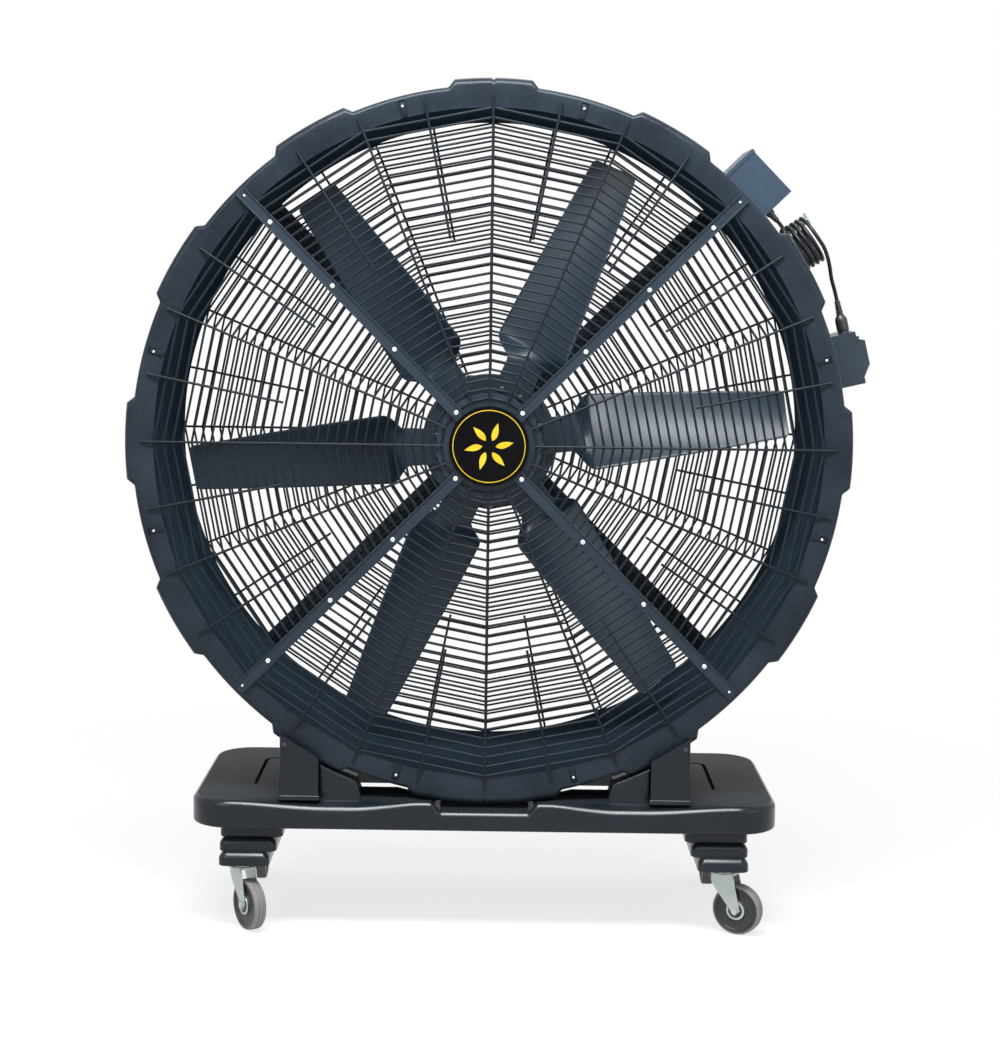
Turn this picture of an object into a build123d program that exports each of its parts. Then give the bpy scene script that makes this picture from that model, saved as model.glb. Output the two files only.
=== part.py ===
"""Large mobile drum fan: a moulded drum on a wheeled base, with a six-blade rotor behind quadrant grilles.

All sizes are in millimetres.  The base frame has +Z up, the front of the fan faces -Y, and the origin is
on the floor straight under the middle of the drum.  Everything that belongs to the drum is drawn in the fan
frame: x to the right, y up and z towards the front, with its origin on the drum's axis at half its depth.
"""
from build123d import *
from math import cos, pi, radians, sin, sqrt, tan
import os

# ---------------------------------------------------------------- driving dimensions
# drum
DRUM_DEPTH = 520.0
BORE_RADIUS = 818.0
SHELL_DEPTH = 54.0           # bore to barrel
DRUM_WALL = 5.0
RIM_LEDGE = 18.0             # width of the stepped seat for the grille, inside the rim face
RIM_EASE = 11.0              # slanted corner between the rim face and the barrel
PAD_COUNT = 12
PAD_RISE = 18.0              # how far a raised pad stands above the barrel
PAD_HALF_ANGLE = 6.0
SEAM_WIDTH = 8.0             # groove over the joint of the two half shells
SEAM_DEPTH = 3.0

# grilles
RING_WIRE = 5.0
SPOKE_WIRE = 6.0
FIRST_RING_RADIUS = 117.5    # the rings drawn here are every second one of the real grille's
FRONT_RING_COUNT = 16
REAR_RING_COUNT = 15
SPOKE_STEP = 22.5            # angle between long spokes
SHORT_SPOKE_FROM = 511.0
SPOKE_LAP = 12.0             # how far a spoke lies on the rim face
EDGE_GAP = 3.2               # from an arm's centre line to the panel's edge bar
TAB_WIDTH = 22.0
TAB_LAP = 20.0               # how far a fixing tab reaches over the rim face
TAB_PLAY = 3.0               # a pocket is larger than its tab by this much
TAB_OFFSET = 15.0            # a tab's angle from the middle of its quadrant

# arms
FRONT_ARM_WIDTH = 28.0
FRONT_ARM_WALL = 3.0
FRONT_ARM_LIP = 7.0
REAR_ARM_WIDTH = 50.0
REAR_ARM_WALL = 4.0
REAR_ARM_LIP = 25.0
ARM_INNER_RADIUS = 60.0
ARM_END_LAP = 26.0           # how far an arm lies on the rim face
END_SCREW_INSET = 16.0       # from an arm's outer end in to its last screw
CENTRE_PLATE_RADIUS = 130.0
CENTRE_PLATE_THICK = 5.0
BADGE_RADIUS = 97.5
BADGE_THICK = 6.0
SCREW_FIRST_RADIUS = 114.0
LAST_SCREW_INSET = 60.5      # from the bore in to the last screw of the row
SCREW_COUNT = 4
SCREW_HEAD = 6.0
SCREW_HEAD_HIGH = 4.0

# motor and rotor
MOTOR_RADIUS = 150.0
MOTOR_LENGTH = 190.0
MOTOR_STEP = 22.0            # how much smaller the motor's front end is
MOTOR_STEP_LENGTH = 40.0
MOTOR_CARRIER_RADIUS = 105.0
MOTOR_CARRIER_WALL = 10.0
MOTOR_CARRIER_LENGTH = 134.0
MOTOR_PLATE_RADIUS = 160.0
MOTOR_PLATE_THICK = 8.0
SHAFT_RADIUS = 25.0
SHAFT_DEPTH = 60.0
RUNNING_FIT = 0.05
HUB_GAP = 6.0                # motor face to hub plate
HUB_RADIUS = 168.0
HUB_THICK = 12.0
CLAMP_THICK = 7.0
CLAMP_LENGTH = 66.0
BLADE_COUNT = 6
BLADE_FIRST_ANGLE = 6.0
TIP_GAP = 68.0               # blade tip to bore
BLADE_TWIST_START = 262.0
TONGUE_INNER = 92.0
TONGUE_OUTER = 205.0
TONGUE_WIDTH = 92.0
TONGUE_THICK = 9.0
BLADE_ROOT_CHORD = 220.0
BLADE_TIP_CHORD = 121.0
BLADE_ROOT_PITCH = 34.0
BLADE_TIP_PITCH = 20.0
BLADE_ROOT_THICK = 9.0
BLADE_TIP_THICK = 5.0
BLADE_CAMBER = 0.06          # bulge as a share of the chord
BLADE_SPANS = 2
BOLT_HEAD = 9.0

# base
DECK_WIDTH = 1452.0
DECK_LENGTH = 600.0
DECK_TOP = 332.0
DECK_THICK = 68.0
DECK_CORNER = 100.0
DECK_WALL = 7.0
DECK_EDGE = 22.0
DRUM_SINK = 12.0             # how far the drum sits below the deck's top
WELL_WIDTH = 810.0
WELL_LENGTH = 356.0
WELL_CORNER = 40.0
CRADLE_GAP = 4.0             # drum to deck
NOTCH_WIDTH = 252.0
NOTCH_DROP = 21.0
GROOVE_WIDTH = 8.0
GROOVE_DEPTH = 3.0
GROOVE_OUTER = 585.0         # wing groove: distance of its outer run from the middle
GROOVE_REAR = 170.0
GROOVE_FRONT = -120.0

# saddle uprights
UPRIGHT_INNER = 408.0
UPRIGHT_OUTER = 504.0
UPRIGHT_LIP = 23.0           # thickness of the front and rear lips
UPRIGHT_GAP = 2.0            # lip to rim face
UPRIGHT_LAP = 16.0           # how far the lips rise over the rim
UPRIGHT_WALL = 8.0
SEAT_GAP = 0.3
FOOT_FLANGE = 4.0
FOOT_FLANGE_HIGH = 10.0

# corner feet and casters
CASTER_X = 600.0
CASTER_Y = 225.0
FOOT_BOTTOM = 168.0
TIER_WIDTHS = (177.0, 153.0, 121.0)
TIER_LENGTHS = (136.0, 162.0, 130.0)
WHEEL_RADIUS = 62.5
WHEEL_WIDTH = 32.0
WHEEL_BOSS = 17.0
WHEEL_BOSS_SIDES = 12
AXLE_RADIUS = 5.0
CASTER_TRAIL = 38.0
FORK_INSIDE = 37.0
FORK_WALL = 3.0
FORK_TOP = 153.0
CROWN_RADIUS = 33.0
CROWN_THICK = 5.0
AXLE_NUT = 5.0
PIN_RADIUS = 6.0
PIN_HEAD_RADIUS = 9.0        # across the corners of its six-sided head
PIN_HEAD_HIGH = 3.0
RACE_RADIUS = 31.0
RACE_GAP = 0.4
PLATE_LENGTH = 104.0
PLATE_WIDTH = 88.0
PLATE_THICK = 4.0
PEDAL_WIDTH = 34.0
PEDAL_THICK = 4.0
PEDAL_LENGTH = 88.0
PEDAL_PIN = 3.0

# electrical boxes, placed by their angle round the drum
DRIVE_ANGLE = 44.5
DRIVE_WIDTH = 145.0
DRIVE_RISE = 108.0           # above the barrel
DRIVE_FRONT = 60.0
DRIVE_LENGTH = 200.0
SHEET = 2.0
LID_LIP = 10.0
SWITCH_ANGLE = 13.3
SWITCH_WIDTH = 133.0
SWITCH_RISE = 88.0
SWITCH_FRONT = 60.0
SWITCH_LENGTH = 150.0
PANEL_DEPTH = 6.0
FLAP_HIGH = 21.0
FLAP_LENGTH = 99.0
FLAP_FLAT = 62.0
FLAP_WIDTH = 132.0
FLAP_WALL = 2.0
HINGE_PIN = 2.0
KNOB_RADIUS = 12.0
KNOB_HIGH = 16.0
TOGGLE_LENGTH = 16.0

# cable
CORD_DIAMETER = 10.0
COIL_ANGLE = 32.5
COIL_RADIUS = 60.0           # to the cable's centre line
COIL_TURNS = 5
COIL_PITCH = 14.0
COIL_STAND = 10.0            # first turn above the pads
CORD_SIDES = 6
HOOK_RADIUS = 8.0
CONNECTOR_SHARE = 0.74       # its place across the switch box
CONNECTOR_DEPTH = 20.0
CONNECTOR_WIDTH = 31.0
CONNECTOR_HIGH = 41.0
RELIEF_LENGTH = 37.5
SOCKET_HIGH = 5.0
GLAND_SHARE = 0.305          # its place across the drive box
GLAND_DEPTH = 46.0
GLAND_LENGTH = 30.0

# ---------------------------------------------------------------- values that follow
HALF_DEPTH = DRUM_DEPTH / 2
LEDGE_RADIUS = BORE_RADIUS + RIM_LEDGE
BARREL_RADIUS = BORE_RADIUS + SHELL_DEPTH
BLADE_TIP_RADIUS = BORE_RADIUS - TIP_GAP
PAD_RADIUS = BARREL_RADIUS + PAD_RISE
PAD_STEP = 360 / PAD_COUNT
LEDGE_Z = HALF_DEPTH - RING_WIRE
PAD_HALF_WIDTH = PAD_RADIUS * tan(radians(PAD_HALF_ANGLE))
HUB_HEIGHT = DECK_TOP - DRUM_SINK + PAD_RADIUS
RING_PITCH = (BORE_RADIUS - FIRST_RING_RADIUS) / (FRONT_RING_COUNT - 1)
SCREW_SPACING = (BORE_RADIUS - LAST_SCREW_INSET - SCREW_FIRST_RADIUS) / (SCREW_COUNT - 1)
DRIVE_OUTER = BARREL_RADIUS + DRIVE_RISE
SWITCH_OUTER = BARREL_RADIUS + SWITCH_RISE
CONNECTOR_U = BARREL_RADIUS + CONNECTOR_SHARE * SWITCH_RISE
GLAND_U = BARREL_RADIUS + GLAND_SHARE * DRIVE_RISE
COIL_FROM = PAD_RADIUS + COIL_STAND
GROOVE_INNER = UPRIGHT_OUTER
FAN_FRAME = Location((0, 0, HUB_HEIGHT), (90, 0, 0))
QUADRANTS = {"right": 0, "top": 90, "left": 180, "bottom": 270}
ARM_ANGLES = [45, 135, 225, 315]
DECK_BOTTOM = DECK_TOP - DECK_THICK
CORNERS = {"front_left": (-1, -1), "front_right": (1, -1), "rear_left": (-1, 1), "rear_right": (1, 1)}
# the way each caster trails from its swivel, as seen from above
TRAIL_ANGLES = {"front_left": -56.0, "front_right": -28.0, "rear_left": -90.0, "rear_right": -90.0}

os.makedirs("parts", exist_ok=True)


def save(name, *solids):
    """Write one node, as the separate solids it is made of."""
    loose = [solid for shape in solids for solid in shape.solids()]
    export_step(Compound(loose), f"parts/{name}.step")


def save_fan(name, *solids):
    """Write a node drawn in the fan frame."""
    save(name, *[FAN_FRAME * solid for shape in solids for solid in shape.solids()])


def polygon(points):
    """A flat face through the points given, in its own x and y."""
    return make_face(Polyline(*points, close=True))


def turned(angle, shape):
    """The shape turned about the fan's axis."""
    return Rot(0, 0, angle) * shape


def block(low, high):
    """A box between two corners."""
    middle = [(a + b) / 2 for a, b in zip(low, high)]
    sizes = [b - a for a, b in zip(low, high)]
    return Pos(*middle) * Box(*sizes)


def mirrored(shape):
    """The same shape on the other side of the drum's middle plane."""
    return mirror(shape, about=Plane.XY)


# ---------------------------------------------------------------- drum
def drum_section():
    """Half section of the drum wall, in the plane of the axis: x is the radius, z the depth."""
    points = [
        (BORE_RADIUS, LEDGE_Z),
        (LEDGE_RADIUS, LEDGE_Z),
        (LEDGE_RADIUS, HALF_DEPTH),
        (BARREL_RADIUS - RIM_EASE, HALF_DEPTH),
        (BARREL_RADIUS, HALF_DEPTH - RIM_EASE),
    ]
    below = [(x, -z) for x, z in reversed(points)]
    return Plane.XZ * polygon(points + below)


def drum_cavity():
    """The hollow between the drum's inner and outer walls."""
    inner, outer = BORE_RADIUS + DRUM_WALL, BARREL_RADIUS - DRUM_WALL
    end = LEDGE_Z - RIM_EASE
    outline = [(inner, -end), (outer, -end), (outer, end), (inner, end)]
    return revolve(Plane.XZ * polygon(outline), axis=Axis.Z)


def raised_pad():
    """One raised pad on the barrel, with slanted ends, drawn round the angle 0."""
    root = BARREL_RADIUS * cos(radians(2 * PAD_HALF_ANGLE))
    foot = PAD_HALF_WIDTH + PAD_RADIUS - root
    outline = polygon([(root, -foot), (PAD_RADIUS, -PAD_HALF_WIDTH), (PAD_RADIUS, PAD_HALF_WIDTH), (root, foot)])
    outline &= Circle(PAD_RADIUS) - Circle(BARREL_RADIUS - DRUM_WALL / 2)
    return extrude(outline, amount=HALF_DEPTH - RIM_EASE / 2, both=True)


def tab_angles():
    """Where the grille tabs meet the rim, all the way round."""
    return [middle + side * TAB_OFFSET for middle in QUADRANTS.values() for side in (-1, 1)]


def drum_halves():
    """Left and right half shells, with raised pads, seam grooves and pockets that seat the grille tabs."""
    shell = revolve(drum_section(), axis=Axis.Z) - drum_cavity()
    for i in range(PAD_COUNT):
        shell += turned(i * PAD_STEP, raised_pad())
    groove = block(
        (PAD_RADIUS - SEAM_DEPTH, -SEAM_WIDTH / 2, -HALF_DEPTH),
        (PAD_RADIUS + SEAM_DEPTH, SEAM_WIDTH / 2, HALF_DEPTH),
    )
    for angle in (90, 270):
        shell -= turned(angle, groove)
    reach = TAB_WIDTH / 2 + TAB_PLAY
    pocket = block(
        (LEDGE_RADIUS - TAB_PLAY, -reach, LEDGE_Z), (LEDGE_RADIUS + TAB_LAP + TAB_PLAY, reach, HALF_DEPTH + 1)
    )
    for angle in tab_angles():
        shell -= turned(angle, pocket) + turned(angle, mirrored(pocket))
    far = PAD_RADIUS + 50
    save_fan("drum_half_left", shell & block((-far, -far, -far), (0, far, far)))
    save_fan("drum_half_right", shell & block((0, -far, -far), (far, far, far)))


# ---------------------------------------------------------------- grilles
def ring_run(radius, inset):
    """Corner points of one 16-sided ring across a quadrant, its ends cut parallel to the arms."""
    sides = round(90 / SPOKE_STEP)
    corners = []
    for i in range(sides + 1):
        angle = radians(-45 + i * SPOKE_STEP)
        corners.append((radius * cos(angle), radius * sin(angle)))
    share = inset / (radius * sin(radians(SPOKE_STEP)))
    for end, beside in ((0, 1), (sides, sides - 1)):
        corners[end] = tuple(a + share * (b - a) for a, b in zip(corners[end], corners[beside]))
    return corners


def ring_net(first, count):
    """One quadrant's ring wires and its two edge bars: a single holed face, one wire thick."""
    half = RING_WIRE / 2
    radii = [first + i * RING_PITCH for i in range(count)]
    bar = EDGE_GAP + RING_WIRE
    outline = ring_run(radii[-1] + half, EDGE_GAP) + ring_run(radii[0] - half, EDGE_GAP)[::-1]
    holes = []
    for inner, outer in zip(radii, radii[1:]):
        hole = ring_run(outer - half, bar) + ring_run(inner + half, bar)[::-1]
        holes.append(Wire.make_polygon([Vector(x, y, 0) for x, y in hole], close=True))
    edge = Wire.make_polygon([Vector(x, y, 0) for x, y in outline], close=True)
    return extrude(Face(edge, holes), amount=RING_WIRE, dir=(0, 0, 1))


def grille_panel(count):
    """A quadrant panel for the front, drawn round the angle 0: net, fixing tabs and spokes."""
    last = BORE_RADIUS
    first = last - (count - 1) * RING_PITCH
    net = ring_net(first, count)
    side_middle = round((TAB_OFFSET - SPOKE_STEP / 2) / SPOKE_STEP) * SPOKE_STEP + SPOKE_STEP / 2
    ring_at_tab = last * cos(radians(SPOKE_STEP / 2)) / cos(radians(TAB_OFFSET - side_middle))
    for side in (-1, 1):
        tab = block(
            (ring_at_tab, -TAB_WIDTH / 2, 0), (LEDGE_RADIUS + TAB_LAP, TAB_WIDTH / 2, RING_WIRE)
        )
        net += turned(side * TAB_OFFSET, tab)
    pieces = [Pos(0, 0, LEDGE_Z) * net]
    spoke_end = LEDGE_RADIUS + SPOKE_LAP
    half = SPOKE_WIRE / 2
    steps = round(90 / SPOKE_STEP)
    for i in range(1, steps):
        bar = block((first - half, -half, HALF_DEPTH), (spoke_end, half, HALF_DEPTH + SPOKE_WIRE))
        pieces.append(turned(-45 + i * SPOKE_STEP, bar))
    for i in range(steps):
        bar = block((SHORT_SPOKE_FROM, -half, HALF_DEPTH), (spoke_end, half, HALF_DEPTH + SPOKE_WIRE))
        pieces.append(turned(-45 + (i + 0.5) * SPOKE_STEP, bar))
    return pieces


def grilles():
    front = grille_panel(FRONT_RING_COUNT)
    rear = [mirrored(piece) for piece in grille_panel(REAR_RING_COUNT)]
    for name, angle in QUADRANTS.items():
        save_fan(f"front_grille_{name}", *[turned(angle, piece) for piece in front])
        save_fan(f"rear_grille_{name}", *[turned(angle, piece) for piece in rear])


# ---------------------------------------------------------------- arms, plates and badge
def channel_arm(width, wall, lip):
    """A channel lying on the panels' edge bars, its lips turned away from the drum."""
    half = width / 2
    outline = [
        (-half, 0), (half, 0), (half, lip), (half - wall, lip),
        (half - wall, wall), (wall - half, wall), (wall - half, lip), (-half, lip),
    ]
    length = LEDGE_RADIUS + ARM_END_LAP - ARM_INNER_RADIUS
    bar = extrude(Plane.YZ * polygon(outline), amount=length)
    return Pos(ARM_INNER_RADIUS, 0, HALF_DEPTH) * bar


def screw_head(radius, z, size, high):
    """A low round-cornered head, standing on the height z at a radius from the axis."""
    return Pos(radius, 0, z) * extrude(RegularPolygon(size, 6), amount=high)


def arm_screw_radii():
    return [SCREW_FIRST_RADIUS + i * SCREW_SPACING for i in range(SCREW_COUNT)]


def arms():
    front = channel_arm(FRONT_ARM_WIDTH, FRONT_ARM_WALL, FRONT_ARM_LIP)
    rear = mirrored(channel_arm(REAR_ARM_WIDTH, REAR_ARM_WALL, REAR_ARM_LIP))
    save_fan("front_arms", *[turned(angle, front) for angle in ARM_ANGLES])
    save_fan("rear_arms", *[turned(angle, rear) for angle in ARM_ANGLES])
    back = LEDGE_Z - CENTRE_PLATE_THICK
    sides = round(360 / SPOKE_STEP)
    outline = RegularPolygon(CENTRE_PLATE_RADIUS, sides, rotation=SPOKE_STEP / 2)
    plate = Pos(0, 0, back) * extrude(outline, amount=CENTRE_PLATE_THICK)
    save_fan("front_centre_plate", plate)
    badge = Pos(0, 0, HALF_DEPTH + FRONT_ARM_LIP) * extrude(Circle(BADGE_RADIUS), amount=BADGE_THICK)
    save_fan("badge_disc", badge)
    seat = HALF_DEPTH + FRONT_ARM_WALL
    radii = arm_screw_radii() + [LEDGE_RADIUS + ARM_END_LAP - END_SCREW_INSET]
    heads = [
        turned(angle, screw_head(radius, seat, SCREW_HEAD, SCREW_HEAD_HIGH))
        for angle in ARM_ANGLES
        for radius in radii
    ]
    save_fan("arm_screws", *heads)
    rim_head = screw_head(LEDGE_RADIUS + TAB_LAP / 2, HALF_DEPTH, SCREW_HEAD, SCREW_HEAD_HIGH)
    save_fan("rim_screws", *[turned(angle, rim_head) for angle in tab_angles()])


# ---------------------------------------------------------------- motor and rotor
PLATE_FRONT = -HALF_DEPTH + MOTOR_PLATE_THICK
MOTOR_REAR = PLATE_FRONT + MOTOR_CARRIER_LENGTH
MOTOR_FRONT = MOTOR_REAR + MOTOR_LENGTH
HUB_REAR = MOTOR_FRONT + HUB_GAP
HUB_FRONT = HUB_REAR + HUB_THICK
TONGUE_FRONT = HUB_FRONT + TONGUE_THICK


def motor():
    """Fixed parts: a plate on the rear arms, an eight-sided carrier tube and the motor's casing."""
    plate = extrude(RegularPolygon(MOTOR_PLATE_RADIUS, 8, rotation=22.5), amount=MOTOR_PLATE_THICK)
    save_fan("motor_plate", Pos(0, 0, -HALF_DEPTH) * plate)
    outline = RegularPolygon(MOTOR_CARRIER_RADIUS, 8, rotation=22.5)
    outline -= RegularPolygon(MOTOR_CARRIER_RADIUS - MOTOR_CARRIER_WALL, 8, rotation=22.5)
    save_fan("motor_carrier", Pos(0, 0, PLATE_FRONT) * extrude(outline, amount=MOTOR_CARRIER_LENGTH))
    casing = extrude(Circle(MOTOR_RADIUS), amount=MOTOR_LENGTH - MOTOR_STEP_LENGTH)
    casing += extrude(Circle(MOTOR_RADIUS - MOTOR_STEP), amount=MOTOR_LENGTH)
    bore = Pos(0, 0, MOTOR_LENGTH - SHAFT_DEPTH) * extrude(Circle(SHAFT_RADIUS + RUNNING_FIT), amount=SHAFT_DEPTH)
    save_fan("motor_housing", Pos(0, 0, MOTOR_REAR) * (casing - bore))


def blade_section(radius, chord, pitch, thick, camber):
    """A thin cambered section across the blade, on the plane at a radius along x."""
    half, rise = chord / 2, camber * chord
    across = Plane(origin=(radius, 0, (HUB_FRONT + TONGUE_FRONT) / 2), x_dir=(0, 1, 0), z_dir=(1, 0, 0))
    flat = 0.3 * thick
    front = ThreePointArc((-half, flat), (0, thick / 2 - rise), (half, flat))
    rear = ThreePointArc((half, -flat), (0, -thick / 2 - rise), (-half, -flat))
    sides = [Line(front @ 1, rear @ 0), Line(rear @ 1, front @ 0)]
    face = make_face([front, sides[0], rear, sides[1]])
    return across * (Rot(0, 0, -pitch) * face)


def blade():
    """One blade along x: a flat tongue for the hub that widens and twists into the cambered blade."""
    sections = [blade_section(TONGUE_OUTER, TONGUE_WIDTH, 0, TONGUE_THICK, 0.001)]
    steps = BLADE_SPANS
    for i in range(steps + 1):
        share = i / steps
        radius = BLADE_TWIST_START + share * (BLADE_TIP_RADIUS - BLADE_TWIST_START)
        chord = BLADE_ROOT_CHORD + share * (BLADE_TIP_CHORD - BLADE_ROOT_CHORD)
        pitch = BLADE_ROOT_PITCH + share * (BLADE_TIP_PITCH - BLADE_ROOT_PITCH)
        thick = BLADE_ROOT_THICK + share * (BLADE_TIP_THICK - BLADE_ROOT_THICK)
        sections.append(blade_section(radius, chord, pitch, thick, BLADE_CAMBER))
    body = loft(sections, ruled=True)
    tongue = block(
        (TONGUE_INNER, -TONGUE_WIDTH / 2, HUB_FRONT), (TONGUE_OUTER + 1, TONGUE_WIDTH / 2, TONGUE_FRONT)
    )
    return body + tongue


def rotor():
    """Everything that spins: the hub with its shaft, the blades, and the clamp plates with their bolts."""
    hub = Pos(0, 0, HUB_REAR) * extrude(Circle(HUB_RADIUS), amount=HUB_THICK)
    shaft_start = MOTOR_FRONT - SHAFT_DEPTH + 1
    hub += Pos(0, 0, shaft_start) * extrude(Circle(SHAFT_RADIUS), amount=HUB_REAR - shaft_start)
    save_fan("rotor_hub", hub)
    one = blade()
    outer = HUB_RADIUS - 4
    inner = outer - CLAMP_LENGTH
    half = TONGUE_WIDTH / 2
    clamp = block((inner, -half, TONGUE_FRONT), (outer, half, TONGUE_FRONT + CLAMP_THICK))
    angles = [BLADE_FIRST_ANGLE + i * 360 / BLADE_COUNT for i in range(BLADE_COUNT)]
    bolts = []
    for angle in angles:
        for side in (-1, 1):
            head = extrude(RegularPolygon(BOLT_HEAD, 6), amount=SCREW_HEAD_HIGH * 1.5)
            place = Pos((inner + outer) / 2, side * half * 0.55, TONGUE_FRONT + CLAMP_THICK)
            bolts.append(turned(angle, place * head))
    save_fan("fan_blades", *[turned(angle, one) for angle in angles])
    save_fan("blade_clamps", *[turned(angle, clamp) for angle in angles])
    save_fan("blade_bolts", *bolts)


# ---------------------------------------------------------------- base
def drum_space(radius, half_length):
    """The round space that the drum fills, in the base frame, for cutting what fits round it."""
    return FAN_FRAME * (Pos(0, 0, -half_length) * extrude(Circle(radius), amount=2 * half_length))


def deck():
    """Moulded deck, open underneath, with the well, the drum's cradle, the notches and the wing grooves."""
    height = DECK_THICK
    outline = RectangleRounded(DECK_WIDTH, DECK_LENGTH, DECK_CORNER)
    body = Pos(0, 0, DECK_BOTTOM) * extrude(outline, amount=height)
    top_edges = [edge for edge in body.edges() if abs(edge.center().Z - DECK_TOP) < 0.1]
    body = chamfer(top_edges, DECK_EDGE * 0.45)
    well = Pos(0, 0, DECK_BOTTOM) * extrude(RectangleRounded(WELL_WIDTH, WELL_LENGTH, WELL_CORNER), amount=height)
    body -= well
    wall = 2 * DECK_WALL
    hollow_outline = RectangleRounded(DECK_WIDTH - wall, DECK_LENGTH - wall, DECK_CORNER - DECK_WALL)
    hollow_outline -= RectangleRounded(WELL_WIDTH + wall, WELL_LENGTH + wall, WELL_CORNER + DECK_WALL)
    hollow = Pos(0, 0, DECK_BOTTOM - 1) * extrude(hollow_outline, amount=height + 1 - DECK_WALL)
    space = HALF_DEPTH + CRADLE_GAP
    hollow -= drum_space(PAD_RADIUS + CRADLE_GAP + DECK_WALL, DECK_LENGTH)
    body -= hollow
    body -= drum_space(PAD_RADIUS + CRADLE_GAP, space)
    body -= block(
        (-NOTCH_WIDTH / 2, -DECK_LENGTH, DECK_TOP - NOTCH_DROP), (NOTCH_WIDTH / 2, DECK_LENGTH, DECK_TOP + 1)
    )
    low, high = DECK_TOP - GROOVE_DEPTH, DECK_TOP + 1
    groove = block((GROOVE_INNER, GROOVE_REAR - GROOVE_WIDTH, low), (GROOVE_OUTER, GROOVE_REAR, high))
    groove += block((GROOVE_OUTER - GROOVE_WIDTH, GROOVE_FRONT, low), (GROOVE_OUTER, GROOVE_REAR, high))
    body -= groove
    body -= mirror(groove, about=Plane.YZ)
    save("base_deck", body)


def upright(side):
    """One saddle: a hollow block under the drum's pad, with lips that rise over the front and rear rim."""
    lip_outer = HALF_DEPTH + UPRIGHT_GAP + UPRIGHT_LIP
    low, high = UPRIGHT_INNER, UPRIGHT_OUTER
    lap = PAD_RADIUS - UPRIGHT_LAP
    top_inner = HUB_HEIGHT - sqrt(lap**2 - low**2)
    top_outer = HUB_HEIGHT - sqrt(lap**2 - high**2)
    outline = [(low, DECK_TOP), (high, DECK_TOP), (high, top_outer), (low, top_inner)]
    body = extrude(Plane.XZ * polygon(outline), amount=lip_outer, both=True)
    body -= drum_space(PAD_RADIUS + SEAT_GAP, HALF_DEPTH + UPRIGHT_GAP)
    flange = block(
        (low - FOOT_FLANGE, -lip_outer - FOOT_FLANGE, DECK_TOP),
        (high + FOOT_FLANGE, lip_outer + FOOT_FLANGE, DECK_TOP + FOOT_FLANGE_HIGH),
    )
    body += flange
    wall = UPRIGHT_WALL
    hollow = block(
        (low + wall, -lip_outer + wall, DECK_TOP - 1), (high - wall, lip_outer - wall, top_outer)
    )
    hollow -= drum_space(PAD_RADIUS + SEAT_GAP + wall, DECK_LENGTH)
    body -= hollow
    return body if side > 0 else mirror(body, about=Plane.YZ)


def uprights():
    save("upright_left", upright(-1))
    save("upright_right", upright(1))
    heads = []
    lip_outer = HALF_DEPTH + UPRIGHT_GAP + UPRIGHT_LIP
    lap = PAD_RADIUS - UPRIGHT_LAP
    x = UPRIGHT_OUTER - 12
    z = HUB_HEIGHT - sqrt(lap**2 - x**2) - 16
    for side in (-1, 1):
        for face in (-1, 1):
            head = extrude(RegularPolygon(SCREW_HEAD, 8), amount=SCREW_HEAD_HIGH)
            place = Plane(origin=(side * x, face * lip_outer, z), z_dir=(0, face, 0))
            heads.append(place * head)
    save("saddle_bolts", *heads)


def corner_feet():
    """Four stepped mouldings, plugged up into the deck: each tier stands further out than the one above."""
    tiers = len(TIER_WIDTHS)
    step = (DECK_BOTTOM - FOOT_BOTTOM) / tiers
    feet = []
    for sx, sy in CORNERS.values():
        foot = None
        for i, (width, length) in enumerate(zip(TIER_WIDTHS, TIER_LENGTHS)):
            bottom = DECK_BOTTOM - (i + 1) * step
            top = bottom + step if i else DECK_TOP - DECK_WALL
            x = sx * (CASTER_X - (TIER_WIDTHS[i] - TIER_WIDTHS[-1]) / 2 * 0.6)
            reach = CASTER_Y - 25 + 14 * i
            y = sy * reach
            tier = Pos(x, y, (top + bottom) / 2) * Box(width, length, top - bottom)
            foot = tier if foot is None else foot + tier
        feet.append(foot)
    save("corner_feet", *feet)


# ---------------------------------------------------------------- casters
def caster_frame(corner):
    """Caster frame: x along its trail, y across it, z up from the floor, with the swivel axis at x = 0."""
    sx, sy = CORNERS[corner]
    return Location((sx * CASTER_X, sy * CASTER_Y, 0), (0, 0, TRAIL_ANGLES[corner]))


def caster_plate():
    """Top plate and swivel race, with a stepped bore that holds the king pin."""
    plate = Pos(0, 0, FOOT_BOTTOM - PLATE_THICK / 2) * Box(PLATE_LENGTH, PLATE_WIDTH, PLATE_THICK)
    race_low = FORK_TOP + RACE_GAP
    race_high = FOOT_BOTTOM - PLATE_THICK
    race = Pos(0, 0, race_low) * extrude(RegularPolygon(RACE_RADIUS, 16), amount=race_high - race_low)
    body = plate + race
    body -= Pos(0, 0, race_low - 1) * extrude(Circle(PIN_RADIUS + RUNNING_FIT), amount=race_high - race_low)
    head_low = race_high - PIN_HEAD_HIGH - RACE_GAP
    head_room = RegularPolygon(PIN_HEAD_RADIUS + RACE_GAP, 12, major_radius=False)
    return body - Pos(0, 0, head_low) * extrude(head_room, amount=PIN_HEAD_HIGH + 2 * RACE_GAP)


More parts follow.
